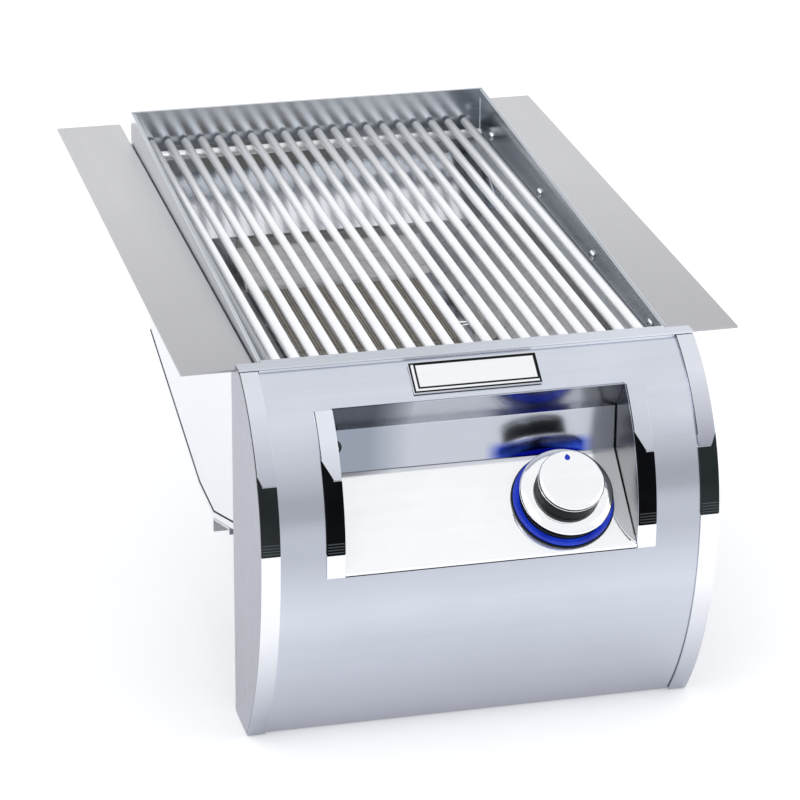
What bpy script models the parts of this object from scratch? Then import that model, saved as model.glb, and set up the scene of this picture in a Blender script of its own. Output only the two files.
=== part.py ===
"""Built-in searing station: a drop-in gas burner box with counter flanges, a rod grid and a curved front.

Metres, +Z up, the front faces -Y. The origin is the middle of the counter cut-out at the flanges' front edge,
on the plane of the counter top, which the flanges' undersides rest on.
"""
import math

import bmesh
import bpy
from mathutils import Matrix, Vector

# Clearance between touching pieces, and how far cutting tools reach past what they cut
GAP = 0.0003
REACH = 0.010

# Counter flanges
FLANGE_WIDTH = 0.360
FLANGE_LENGTH = 0.490
FLANGE_SHEET = 0.0015
FLANGE_LEG = 0.014
FLANGE_BEND = 0.0022

# Burner box
BOX_WIDTH = 0.264
BOX_FRONT = -0.0025
BOX_BACK = 0.449
WALL_SHEET = 0.0012
RIM_FRONT = 0.0060
RIM_BACK = 0.0240
HEM_HEIGHT = 0.006
HEM_SHEET = 0.0014
HEM_STEP = 0.0002
RIM_LIP = 0.0105
SLOPE_TOP = -0.0255
SLOPE_BOTTOM = -0.0550
HOUSING_BACK = 0.3845
HOUSING_FRONT_ROOM = 0.018
HOUSING_DEEP_DEPTH = 0.167
HOUSING_DEEP_FROM = 0.150
HOUSING_DEEP_TO = 0.200
HOUSING_BACK_ROOM = 0.008

# Holes of the screws that hold the flanges
SCREW_COUNT = 4
SCREW_FIRST = 0.0275
SCREW_LAST = 0.0345
SCREW_LEVEL = -0.0030
SCREW_HOLE = 0.0022
SCREW_SIDES = 12

# Cooking grid
ROD_PITCH = 0.0124
ROD_SIDE_ROOM = 0.0125
ROD_RADIUS = 0.0032
ROD_SIDES = 10
ROD_TOP = 0.0035
ROD_END_GAP = 0.0045
CROSS_RADIUS = 0.0035
CROSS_SIDES = 8
CROSS_SINK = 0.0006
CROSS_FRONT_INSET = 0.009
CROSS_REAR_INSET = 0.012
CROSS_END_GAP = 0.0033

# Grid ledges
LEDGE_SHEET = 0.0015
LEDGE_WIDTH = 0.018
LEDGE_DROP = 0.012

# Burner
BURNER_SIDE_ROOM = 0.0645
BURNER_FRONT = 0.090
BURNER_BACK = 0.344
BURNER_TOP = -0.084
BURNER_HEIGHT = 0.034
BURNER_SHEET = 0.0015
FRAME_HEIGHT = 0.0040
FRAME_LAP = 0.002
FRAME_BORDER = 0.009
TILE_COUNT = 2
TILE_THICKNESS = 0.012
TILE_RECESS = 0.0005
TILE_JOINT = 0.0016
BRACKET_HALF_LENGTH = 0.012
BRACKET_LEG = 0.010
BRACKET_INSET = 0.022
DEFLECTOR_SHEET = 0.0010
DEFLECTOR_TOP = -0.033
DEFLECTOR_LIP = 0.012
REAR_DEFLECTOR_DROP = 0.002
REAR_DEFLECTOR_LIP = 0.006
SIDE_EDGE_ROOM = 0.0006
REAR_EDGE_ROOM = 0.0008

# Igniter
IGNITER_PLACE = 0.215
IGNITER_LENGTH = 0.022
IGNITER_WIDTH = 0.010
IGNITER_RISE = 0.022
IGNITER_FOOT = 0.0016
ELECTRODE_RADIUS = 0.0015
ELECTRODE_LENGTH = 0.020
ELECTRODE_DROP = 0.006

# Curved front, two tangent arcs in side view
FRONT_OVERHANG = 0.0140
FRONT_TOP = 0.0045
FRONT_BOTTOM = -0.2400
BULGE_Y = -0.0760
BULGE_Z = -0.0965
UPPER_RADIUS = 0.1125
LOWER_RADIUS = 0.2266
FRONT_SHEET = 0.0015
STRIP_SHEET = 0.0012
STRIP_WIDTH = 0.0120
INSERT_TOP = -0.0500
INSERT_BOTTOM = -0.0920
SIDE_SHEET = 0.0015
SIDE_BACK = 0.0115
BOTTOM_RETURN = 0.014
CHORD = 0.009

# Control recess
RECESS_MARGIN = 0.0525
RECESS_TOP = -0.0140
RECESS_BOTTOM = -0.1110
RECESS_BACK = -0.0220
RECESS_FOLD = -0.0360
FACE_BACK = -0.0653
FACE_FRONT = -0.1090
FACE_FRONT_Y = -0.0743
RECESS_SHEET = 0.0012
CHEEK_WIDTH = 0.0117
CHEEK_INSERT_TOP = -0.0500
CHEEK_INSERT_BOTTOM = -0.0950
TONGUE_RISE = 0.0120
TONGUE_SHARE = 0.60

# Badge
BADGE_WIDTH = 0.082
BADGE_HEIGHT = 0.0225
BADGE_SHEET = 0.0015
BADGE_CENTRE = -0.0048

# Sides of round sections
KNOB_SIDES = 40
BORE_SIDES = 24
TUBE_SIDES = 20
DOT_SIDES = 16

# Knob and valve, heights along the knob's axis from the control face
KNOB_INSET = 0.0415
KNOB_RISE = 0.0006
BEZEL_RADIUS = 0.0330
BEZEL_BASE = 0.0014
BEZEL_RAISED_RADIUS = 0.0280
BEZEL_TOP = 0.0058
BEZEL_BORE = 0.0070
LED_HEIGHT = 0.0028
LED_MARGIN = 0.0005
LED_BORDER = 0.0010
SKIRT_RADIUS = 0.0300
SKIRT_BOTTOM = 0.0115
SKIRT_TOP = 0.0161
SKIRT_BORE = 0.0120
SKIRT_EDGE = 0.0015
SKIRT_FALL = 0.0035
GRIP_RADIUS = 0.0206
GRIP_TOP = 0.0265
CAP_RADIUS = 0.0210
CAP_HEIGHT = 0.0045
CAP_GROOVE = 0.0018
KNOB_EDGE = 0.0006
DOT_RADIUS = 0.0020
DOT_PLACE = 0.0150
DOT_DEPTH = 0.0012
STEM_RADIUS = 0.0040
STEM_TOP = 0.0230
STEM_BOTTOM = -0.0220
FACE_HOLE = 0.0065
VALVE_HALF = 0.0150
VALVE_TOP = -0.0020
VALVE_LENGTH = 0.0380
VALVE_BORE = 0.0075
VALVE_BORE_DEPTH = 0.0270
PLUNGER_TOP = -0.0080
PLUNGER_HEIGHT = 0.0060
PIPE_RADIUS = 0.0070
PIPE_BORE = 0.0050
PIPE_INSET = 0.0460
PIPE_DEPTH = 0.0300
FITTING_RADIUS = 0.0110
FITTING_LENGTH = 0.0220
FITTING_SIDES = 6
OUTLET_RISE = 0.0180
OUTLET_RADIUS = 0.0050
OUTLET_FRONT = -0.0240
OUTLET_BACK = -0.0090
ORIFICE_RADIUS = 0.0035
ORIFICE_LENGTH = 0.0055
VENTURI_RADIUS = 0.0100
VENTURI_SHEET = 0.0012
VENTURI_MOUTH = -0.0060

# Light switch
SWITCH_INSET = 0.0052
SWITCH_LEVEL = -0.0472
SWITCH_RIM = 0.0046
SWITCH_RIM_HEIGHT = 0.0012
SWITCH_BARREL = 0.0036
SWITCH_DEPTH = 0.0130
SWITCH_BUTTON = 0.0024
SWITCH_PROUD = 0.0034
SWITCH_TRAVEL = 0.0020
SWITCH_SEAT = 0.0050

# Brackets behind and below
FRONT_BRACKET_TOP = -0.020
FRONT_BRACKET_BOTTOM = -0.110
FRONT_BRACKET_LEG = 0.030
FRONT_BRACKET_SHEET = 0.0015
RAIL_FRONT = 0.096
RAIL_BACK = 0.153
RAIL_SHEET = 0.0015
RAIL_DROP = 0.0105
RAIL_LIP = 0.0052
RAIL_FOLD = 0.0008

# Values that follow from the sizes above
WALL_OUT = BOX_WIDTH / 2
WALL_IN = WALL_OUT - WALL_SHEET
INSIDE = WALL_IN - GAP
BURNER_HALF = INSIDE - BURNER_SIDE_ROOM
BURNER_BOTTOM = BURNER_TOP - BURNER_HEIGHT
OUTLET_LEVEL = BURNER_BOTTOM + OUTLET_RISE
HOUSING_FRONT_DEPTH = HOUSING_FRONT_ROOM - OUTLET_LEVEL
HOUSING_BACK_DEPTH = HOUSING_BACK_ROOM - BURNER_BOTTOM
DEFLECTOR_FOLD = DEFLECTOR_TOP - DEFLECTOR_LIP
DEFLECTOR_EDGE = BURNER_TOP
IGNITER_TOP = BURNER_TOP + IGNITER_RISE
ROD_COUNT = 1 + int(2 * (INSIDE - ROD_SIDE_ROOM) / ROD_PITCH)
LEG_IN = WALL_OUT + GAP
LEG_OUT = LEG_IN + FLANGE_SHEET
ROD_START = BOX_FRONT + WALL_SHEET + HEM_SHEET + ROD_END_GAP
ROD_END = BOX_BACK - WALL_SHEET - HEM_SHEET - ROD_END_GAP / 2
ROD_LEVEL = ROD_TOP - ROD_RADIUS
CROSS_LEVEL = ROD_LEVEL - ROD_RADIUS - CROSS_RADIUS + CROSS_SINK
LEDGE_TOP = CROSS_LEVEL - CROSS_RADIUS - GAP
FRAME_BOTTOM = BURNER_TOP + GAP
FRAME_TOP = FRAME_BOTTOM + FRAME_HEIGHT
FRAME_HALF = BURNER_HALF + FRAME_LAP
FRONT_HALF = WALL_OUT + FRONT_OVERHANG
RECESS_HALF = FRONT_HALF - RECESS_MARGIN
KNOB_X = RECESS_HALF - KNOB_INSET
SWITCH_X = SWITCH_INSET - RECESS_HALF
PIPE_END = PIPE_INSET - FRONT_HALF
STRIP_INNER = FRONT_HALF - STRIP_WIDTH
PANEL_INSET = STRIP_SHEET + GAP
SIDE_IN = FRONT_HALF - SIDE_SHEET
PANEL_HALF = SIDE_IN - GAP
FACE_TILT = math.atan2(FACE_BACK - FACE_FRONT, RECESS_BACK - FACE_FRONT_Y)
FACE_MIDDLE = Vector((KNOB_X, (RECESS_BACK + FACE_FRONT_Y) / 2, (FACE_BACK + FACE_FRONT) / 2))
KNOB_SEAT = FACE_MIDDLE + Vector((0, math.cos(FACE_TILT), math.sin(FACE_TILT))) * KNOB_RISE
KNOB_FRAME = Matrix.Translation(KNOB_SEAT) @ Matrix.Rotation(FACE_TILT, 4, "X")
PAN_SEAT = WALL_SHEET * 1.4
TINY = 1e-7


def material(name, colour, metallic, roughness):
    """A Principled material of one colour."""
    made = bpy.data.materials.new(name)
    made.use_nodes = True
    shader = made.node_tree.nodes["Principled BSDF"]
    shader.inputs["Base Color"].default_value = (*colour, 1.0)
    shader.inputs["Metallic"].default_value = metallic
    shader.inputs["Roughness"].default_value = roughness
    made.diffuse_color = (*colour, 1.0)
    return made


# Outlines and solids

def circle(a, b, radius, sides):
    """Outline of a round section."""
    turn = 2 * math.pi / sides
    return [(a + radius * math.cos(i * turn), b + radius * math.sin(i * turn)) for i in range(sides)]


def rectangle(a_low, a_high, b_low, b_high):
    """Outline of a rectangle."""
    return [(a_low, b_low), (a_high, b_low), (a_high, b_high), (a_low, b_high)]


def bent(path, sheet):
    """Outline of a bent sheet: the path is one face, the other lies to its left by the sheet's thickness."""
    points = [Vector(p) for p in path]
    normals = []
    for start, end in zip(points, points[1:]):
        along = (end - start).normalized()
        normals.append(Vector((-along.y, along.x)))
    other = [points[0] + normals[0] * sheet]
    for point, before, after in zip(points[1:-1], normals, normals[1:]):
        middle = (before + after).normalized()
        other.append(point + middle * (sheet / middle.dot(before)))
    other.append(points[-1] + normals[-1] * sheet)
    return [tuple(p) for p in points] + [tuple(p) for p in reversed(other)]


def placed(axis, a, b, along):
    """A point with a and b across the axis, in alphabetical order, and along on it."""
    order = {"x": (along, a, b), "y": (a, along, b), "z": (a, b, along)}
    return Vector(order[axis])


def prism(outline, axis, low, high):
    """Closed solid: an outline pushed along an axis."""
    solid = bmesh.new()
    face = solid.faces.new([solid.verts.new(placed(axis, a, b, low)) for a, b in outline])
    pushed = bmesh.ops.extrude_face_region(solid, geom=[face])
    moved = [item for item in pushed["geom"] if isinstance(item, bmesh.types.BMVert)]
    bmesh.ops.translate(solid, vec=placed(axis, 0, 0, high - low), verts=moved)
    bmesh.ops.recalc_face_normals(solid, faces=solid.faces)
    return solid


def turned(profile, steps, ring=False):
    """Closed solid of revolution about Z from radius and height points; a ring's profile closes on itself."""
    solid = bmesh.new()
    verts = [solid.verts.new((radius, 0.0, height)) for radius, height in profile]
    pairs = list(zip(verts, verts[1:]))
    if ring:
        pairs.append((verts[-1], verts[0]))
    edges = [solid.edges.new(pair) for pair in pairs]
    bmesh.ops.spin(solid, geom=verts + edges, cent=(0, 0, 0), axis=(0, 0, 1), dvec=(0, 0, 0),
                   angle=2 * math.pi, steps=steps, use_merge=True, use_duplicate=False)
    bmesh.ops.remove_doubles(solid, verts=solid.verts, dist=TINY)
    bmesh.ops.recalc_face_normals(solid, faces=solid.faces)
    return solid


def joined(solids):
    """Several separate solids as one mesh."""
    whole = bmesh.new()
    for solid in solids:
        carrier = bpy.data.meshes.new("carrier")
        solid.to_mesh(carrier)
        solid.free()
        whole.from_mesh(carrier)
        bpy.data.meshes.remove(carrier)
    return whole


def moved(solid, matrix):
    """The same solid carried by a matrix."""
    bmesh.ops.transform(solid, matrix=matrix, verts=solid.verts)
    return solid


def add(name, solid, finish, parent=None, smooth=False):
    """A named object with its own copy of a finish."""
    mesh = bpy.data.meshes.new(name)
    solid.to_mesh(mesh)
    solid.free()
    if smooth:
        mesh.shade_smooth()
        mesh.set_sharp_from_angle(angle=math.radians(35))
    obj = bpy.data.objects.new(name, mesh)
    bpy.context.scene.collection.objects.link(obj)
    colour, metallic, roughness = finish
    mesh.materials.append(material(name + "_finish", colour, metallic, roughness))
    obj.parent = parent
    return obj


def shape_by(obj, solid, operation):
    """Boolean of an object with a hidden tool solid."""
    tool = add(f"{obj.name}_{operation.lower()}_tool", solid, TOOL_FINISH, obj.parent)
    tool.hide_render = True
    tool.display_type = "WIRE"
    step = obj.modifiers.new(operation.lower(), "BOOLEAN")
    step.operation = operation
    step.object = tool
    return obj


def front_y(z, inset):
    """Depth of the front's curve at a height, set in from the outermost face."""
    radius = UPPER_RADIUS if z > BULGE_Z else LOWER_RADIUS
    return BULGE_Y + radius - math.sqrt((radius - inset) ** 2 - (z - BULGE_Z) ** 2)


def front_arc(top, bottom, inset):
    """Points down the front's curve between two heights."""
    points = []
    spans = [(UPPER_RADIUS, top, max(bottom, BULGE_Z)), (LOWER_RADIUS, min(top, BULGE_Z), bottom)]
    for radius, high, low in spans:
        if high - low < TINY:
            continue
        first = math.asin((high - BULGE_Z) / (radius - inset))
        last = math.asin((low - BULGE_Z) / (radius - inset))
        steps = max(2, math.ceil((first - last) * radius / CHORD))
        for i in range(1 if points else 0, steps + 1):
            angle = first + (last - first) * i / steps
            points.append((BULGE_Y + radius - (radius - inset) * math.cos(angle),
                           BULGE_Z + (radius - inset) * math.sin(angle)))
    return points


def front_sheet(top, bottom, inset, sheet):
    """Outline of a curved sheet on the front, level at both ends."""
    return front_arc(top, bottom, inset) + list(reversed(front_arc(top, bottom, inset + sheet)))


def rim_height(y):
    """Height of the box's sloping rim."""
    return RIM_FRONT + (RIM_BACK - RIM_FRONT) * (y - BOX_FRONT) / (BOX_BACK - BOX_FRONT)


def housing_floor(y):
    """Underside of the housing in side view."""
    if y < HOUSING_DEEP_FROM:
        share = (y - BOX_FRONT) / (HOUSING_DEEP_FROM - BOX_FRONT)
        return -HOUSING_FRONT_DEPTH - share * (HOUSING_DEEP_DEPTH - HOUSING_FRONT_DEPTH)
    if y < HOUSING_DEEP_TO:
        return -HOUSING_DEEP_DEPTH
    share = (y - HOUSING_DEEP_TO) / (HOUSING_BACK - HOUSING_DEEP_TO)
    return -HOUSING_DEEP_DEPTH + share * (HOUSING_DEEP_DEPTH - HOUSING_BACK_DEPTH)


def screw_holes(side, inner, outer):
    """Cutting tool for one side's row of screw holes, between two distances from the middle."""
    low, high = sorted((side * inner, side * outer))
    pitch = (BOX_BACK - SCREW_LAST - SCREW_FIRST) / (SCREW_COUNT - 1)
    places = [SCREW_FIRST + i * pitch for i in range(SCREW_COUNT)]
    return joined([prism(circle(y, SCREW_LEVEL, SCREW_HOLE, SCREW_SIDES), "x", low, high) for y in places])


# Finishes: colour, metallic, roughness

STAINLESS = ((0.60, 0.61, 0.63), 1.0, 0.32)
PANEL_STEEL = ((0.66, 0.67, 0.71), 1.0, 0.30)
POLISHED = ((0.86, 0.87, 0.89), 1.0, 0.08)
ROD_STEEL = ((0.78, 0.79, 0.80), 1.0, 0.18)
DARK_GLOSS = ((0.010, 0.012, 0.014), 0.0, 0.12)
GRIP_DARK = ((0.045, 0.050, 0.055), 0.0, 0.35)
CERAMIC = ((0.22, 0.20, 0.18), 0.0, 0.85)
PORCELAIN = ((0.85, 0.84, 0.80), 0.0, 0.4)
BRASS = ((0.72, 0.53, 0.25), 1.0, 0.3)
BLUE_LIGHT = ((0.02, 0.08, 0.65), 0.0, 0.2)
TOOL_FINISH = ((1.0, 0.2, 0.1), 0.0, 0.5)


# Sub-parts

def make_flanges():
    """Two angle sections: a wide flat flange on the counter and a short leg down the box wall."""
    half = FLANGE_WIDTH / 2
    corner = [(LEG_IN + FLANGE_BEND * (1 - math.cos(a)), FLANGE_SHEET - FLANGE_BEND * (1 - math.sin(a)))
              for a in (math.pi / 2 * i / 4 for i in range(5))]
    path = [(LEG_IN, -FLANGE_LEG)] + corner + [(half, FLANGE_SHEET)]
    outline = bent(path, -FLANGE_SHEET)
    for side, name in ((-1, "flange_left"), (1, "flange_right")):
        section = [(side * x, z) for x, z in outline]
        flange = add(name, prism(section, "y", 0.0, FLANGE_LENGTH), STAINLESS)
        shape_by(flange, screw_holes(side, WALL_IN, LEG_OUT + REACH), "DIFFERENCE")


def make_side_walls():
    """Side walls of the box, with a hem folded in along the sloping rim."""
    outline = [(BOX_FRONT, RIM_FRONT), (BOX_BACK, RIM_BACK), (BOX_BACK, SLOPE_TOP),
               (HOUSING_BACK, SLOPE_BOTTOM), (HOUSING_BACK, -HOUSING_BACK_DEPTH),
               (HOUSING_DEEP_TO, -HOUSING_DEEP_DEPTH), (HOUSING_DEEP_FROM, -HOUSING_DEEP_DEPTH),
               (BOX_FRONT, -HOUSING_FRONT_DEPTH)]
    start = BOX_FRONT + WALL_SHEET + HEM_SHEET + GAP
    end = BOX_BACK - WALL_SHEET - HEM_SHEET - GAP
    hem = [(start, rim_height(start) - HEM_STEP), (end, rim_height(end) - HEM_STEP),
           (end, rim_height(end) - HEM_HEIGHT), (start, rim_height(start) - HEM_HEIGHT)]
    for side, name in ((-1, "side_wall_left"), (1, "side_wall_right")):
        low, high = sorted((side * WALL_IN, side * WALL_OUT))
        wall = add(name, prism(outline, "x", low, high), STAINLESS)
        fold = sorted((side * (WALL_IN - HEM_SHEET), side * (WALL_IN + WALL_SHEET / 2)))
        shape_by(wall, prism(hem, "x", *fold), "UNION")
        shape_by(wall, screw_holes(side, WALL_IN - REACH, LEG_IN), "DIFFERENCE")


def make_front_wall():
    """Front wall with its hem, a rim lip as wide as the front and the hole for the burner's tube."""
    inner = BOX_FRONT + WALL_SHEET
    bottom = PAN_SEAT - HOUSING_FRONT_DEPTH
    edge = BOX_FRONT - RIM_LIP
    outline = [(edge, RIM_FRONT), (edge, RIM_FRONT - WALL_SHEET), (BOX_FRONT, RIM_FRONT - WALL_SHEET),
               (BOX_FRONT, bottom), (inner, bottom), (inner, RIM_FRONT - HEM_HEIGHT),
               (inner + HEM_SHEET, RIM_FRONT - HEM_HEIGHT), (inner + HEM_SHEET, RIM_FRONT)]
    wall = add("front_wall", prism(outline, "x", -FRONT_HALF, FRONT_HALF), STAINLESS)
    behind = rectangle(BOX_FRONT - GAP, inner + REACH, bottom - REACH, RIM_FRONT + REACH)
    sides = [prism(behind, "x", *sorted((side * INSIDE, side * (FRONT_HALF + REACH)))) for side in (-1, 1)]
    shape_by(wall, joined(sides), "DIFFERENCE")
    hole = circle(KNOB_X, OUTLET_LEVEL, VENTURI_RADIUS + GAP, BORE_SIDES)
    shape_by(wall, prism(hole, "y", BOX_FRONT - REACH, inner + REACH), "DIFFERENCE")


def make_rear_wall():
    """Rear wall as one bent sheet: lower wall, sloping reflector and hemmed upper wall."""
    path = [(HOUSING_BACK, PAN_SEAT - HOUSING_BACK_DEPTH), (HOUSING_BACK, SLOPE_BOTTOM),
            (BOX_BACK, SLOPE_TOP), (BOX_BACK, RIM_BACK)]
    outline = bent(path, WALL_SHEET)
    inner = BOX_BACK - WALL_SHEET
    low = RIM_BACK - HEM_HEIGHT
    outline[4:5] = [(inner - HEM_SHEET, RIM_BACK), (inner - HEM_SHEET, low), (inner, low)]
    add("rear_wall", prism(outline, "x", -INSIDE, INSIDE), STAINLESS)


def make_bottom_pan():
    """Bent pan closing the housing from below."""
    path = [(y, housing_floor(y)) for y in (BOX_FRONT, HOUSING_DEEP_FROM, HOUSING_DEEP_TO, HOUSING_BACK)]
    add("bottom_pan", prism(bent(path, WALL_SHEET), "x", -INSIDE, INSIDE), STAINLESS)


def make_base_rail():
    """Stiffening channel under the pan."""
    top_front = housing_floor(RAIL_FRONT) - GAP
    top_fold = housing_floor(HOUSING_DEEP_FROM) - GAP
    outline = [(RAIL_FRONT, top_front), (HOUSING_DEEP_FROM, top_fold), (RAIL_BACK, top_fold),
               (RAIL_BACK, top_fold - RAIL_DROP), (RAIL_BACK - RAIL_SHEET, top_fold - RAIL_DROP),
               (RAIL_BACK - RAIL_SHEET, top_fold - RAIL_SHEET), (HOUSING_DEEP_FROM, top_fold - RAIL_SHEET),
               (RAIL_FRONT + RAIL_SHEET, top_front - RAIL_SHEET - RAIL_FOLD),
               (RAIL_FRONT + RAIL_SHEET, top_front - RAIL_LIP), (RAIL_FRONT, top_front - RAIL_LIP)]
    add("base_rail", prism(outline, "x", -WALL_OUT, WALL_OUT), STAINLESS)


def make_cooking_grid():
    """Round rods from front to back welded on a cross bar near each end."""
    first = -(ROD_COUNT - 1) / 2 * ROD_PITCH
    rods = [prism(circle(first + i * ROD_PITCH, ROD_LEVEL, ROD_RADIUS, ROD_SIDES), "y", ROD_START, ROD_END)
            for i in range(ROD_COUNT)]
    grid = add("cooking_grid", joined(rods), ROD_STEEL, smooth=True)
    half = INSIDE - CROSS_END_GAP
    places = [ROD_START + CROSS_FRONT_INSET, ROD_END - CROSS_REAR_INSET]
    bars = [prism(circle(y, CROSS_LEVEL, CROSS_RADIUS, CROSS_SIDES), "x", -half, half) for y in places]
    shape_by(grid, joined(bars), "UNION")


def make_grid_ledges():
    """Angle strips on the side walls that the grid's cross bars rest on."""
    start = BOX_FRONT + WALL_SHEET + GAP
    end = BOX_BACK - WALL_SHEET - GAP
    for side, name in ((-1, "grid_ledge_left"), (1, "grid_ledge_right")):
        path = [(side * (INSIDE - LEDGE_WIDTH), LEDGE_TOP), (side * INSIDE, LEDGE_TOP),
                (side * INSIDE, LEDGE_TOP - LEDGE_DROP)]
        add(name, prism(bent(path, -side * LEDGE_SHEET), "y", start, end), STAINLESS)


def make_burner():
    """Infrared burner: an open pan, ceramic tiles in a frame on top, and two channels that carry it."""
    plan = rectangle(-BURNER_HALF, BURNER_HALF, BURNER_FRONT, BURNER_BACK)
    body = add("burner_body", prism(plan, "z", BURNER_BOTTOM, BURNER_TOP), STAINLESS)
    inner = BURNER_HALF - BURNER_SHEET
    hollow = rectangle(-inner, inner, BURNER_FRONT + BURNER_SHEET, BURNER_BACK - BURNER_SHEET)
    shape_by(body, prism(hollow, "z", BURNER_BOTTOM + BURNER_SHEET, BURNER_TOP + REACH), "DIFFERENCE")
    inlet = circle(KNOB_X, OUTLET_LEVEL, VENTURI_RADIUS - VENTURI_SHEET, BORE_SIDES)
    shape_by(body, prism(inlet, "y", BURNER_FRONT - REACH, BURNER_FRONT + REACH), "DIFFERENCE")
    front = BURNER_FRONT - FRAME_LAP
    back = BURNER_BACK + FRAME_LAP
    plan = rectangle(-FRAME_HALF, FRAME_HALF, front, back)
    frame = add("burner_frame", prism(plan, "z", FRAME_BOTTOM, FRAME_TOP), POLISHED)
    window = FRAME_HALF - FRAME_BORDER
    opening = rectangle(-window, window, front + FRAME_BORDER, back - FRAME_BORDER)
    shape_by(frame, prism(opening, "z", FRAME_BOTTOM - REACH, FRAME_TOP + REACH), "DIFFERENCE")
    tile_half = window - GAP
    first = front + FRAME_BORDER + GAP
    last = back - FRAME_BORDER - GAP
    length = (last - first - (TILE_COUNT - 1) * TILE_JOINT) / TILE_COUNT
    top = FRAME_TOP - TILE_RECESS
    for i in range(TILE_COUNT):
        start = first + i * (length + TILE_JOINT)
        tile = prism(rectangle(-tile_half, tile_half, start, start + length), "z", top - TILE_THICKNESS, top)
        add(f"burner_tile_{i + 1}", tile, CERAMIC)
    for name, y in (("burner_bracket_front", BURNER_FRONT + BRACKET_INSET),
                    ("burner_bracket_rear", BURNER_BACK - BRACKET_INSET)):
        top = BURNER_BOTTOM - GAP
        path = [(y - BRACKET_HALF_LENGTH, top - BRACKET_LEG), (y - BRACKET_HALF_LENGTH, top),
                (y + BRACKET_HALF_LENGTH, top), (y + BRACKET_HALF_LENGTH, top - BRACKET_LEG)]
        add(name, prism(bent(path, -BURNER_SHEET), "x", -INSIDE, INSIDE), STAINLESS)


def make_deflectors():
    """Sloping plates from the walls down to the burner's edges."""
    inner = FRAME_HALF + GAP + SIDE_EDGE_ROOM
    start = BOX_FRONT + WALL_SHEET + GAP
    end = HOUSING_BACK - WALL_SHEET - GAP
    for side, name in ((-1, "deflector_left"), (1, "deflector_right")):
        wall = side * INSIDE
        path = [(wall, DEFLECTOR_TOP), (wall, DEFLECTOR_FOLD), (side * inner, DEFLECTOR_EDGE)]
        add(name, prism(bent(path, -side * DEFLECTOR_SHEET), "y", start, end), STAINLESS)
    edge = BURNER_BACK + FRAME_LAP + GAP + REAR_EDGE_ROOM
    top = SLOPE_BOTTOM - REAR_DEFLECTOR_DROP
    path = [(end, top), (end, top - REAR_DEFLECTOR_LIP), (edge, DEFLECTOR_EDGE)]
    add("deflector_rear", prism(bent(path, -DEFLECTOR_SHEET), "x", -FRAME_HALF, FRAME_HALF), STAINLESS)


def make_igniter():
    """Igniter box beside the burner and the electrode that reaches over its tiles."""
    inner = FRAME_HALF + GAP * 2
    slope = (DEFLECTOR_FOLD - DEFLECTOR_EDGE) / (INSIDE - FRAME_HALF)
    foot = DEFLECTOR_EDGE + IGNITER_FOOT
    outline = [(inner, foot), (inner + IGNITER_WIDTH, foot + slope * IGNITER_WIDTH),
               (inner + IGNITER_WIDTH, IGNITER_TOP), (inner, IGNITER_TOP)]
    low = IGNITER_PLACE - IGNITER_LENGTH / 2
    add("igniter_box", prism(outline, "y", low, low + IGNITER_LENGTH), PORCELAIN)
    section = circle(IGNITER_PLACE, IGNITER_TOP - ELECTRODE_DROP, ELECTRODE_RADIUS, ROD_SIDES)
    end = inner - GAP
    add("igniter_electrode", prism(section, "x", end - ELECTRODE_LENGTH, end), POLISHED, smooth=True)


def make_front_panel():
    """Curved front sheet with a flange on top, a return at the bottom and the control opening."""
    arc = front_arc(FRONT_TOP, FRONT_BOTTOM + GAP, PANEL_INSET)
    path = [(BOX_FRONT - GAP, FRONT_TOP)] + arc + [(arc[-1][0] + BOTTOM_RETURN, arc[-1][1])]
    panel = add("front_panel", prism(bent(path, FRONT_SHEET), "x", -PANEL_HALF, PANEL_HALF), PANEL_STEEL)
    opening = rectangle(BULGE_Y - REACH, RECESS_BACK, RECESS_BOTTOM, RECESS_TOP)
    shape_by(panel, prism(opening, "x", -RECESS_HALF, RECESS_HALF), "DIFFERENCE")


def make_side_plates():
    """Side plates that close the front's ends and reach back beside the box."""
    outline = front_arc(FRONT_TOP, FRONT_BOTTOM, PANEL_INSET)
    outline += [(SIDE_BACK, FRONT_BOTTOM), (SIDE_BACK, -GAP), (-GAP, -GAP), (-GAP, FRONT_TOP)]
    for side, name in ((-1, "side_plate_left"), (1, "side_plate_right")):
        low, high = sorted((side * SIDE_IN, side * FRONT_HALF))
        add(name, prism(outline, "x", low, high), PANEL_STEEL)


def make_side_strips():
    """Trim down both edges of the front: polished above, a dark insert, polished below."""
    for side, word in ((-1, "left"), (1, "right")):
        low, high = sorted((side * STRIP_INNER, side * FRONT_HALF))
        upper = front_sheet(FRONT_TOP, INSERT_TOP + GAP, 0, STRIP_SHEET)
        add(f"strip_upper_{word}", prism(upper, "x", low, high), POLISHED, smooth=True)
        dark = front_sheet(INSERT_TOP, INSERT_BOTTOM, 0, STRIP_SHEET)
        add(f"strip_insert_{word}", prism(dark, "x", low, high), DARK_GLOSS, smooth=True)
        lower = front_sheet(INSERT_BOTTOM - GAP, FRONT_BOTTOM, 0, STRIP_SHEET)
        add(f"strip_lower_{word}", prism(lower, "x", low, high), POLISHED, smooth=True)


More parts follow.
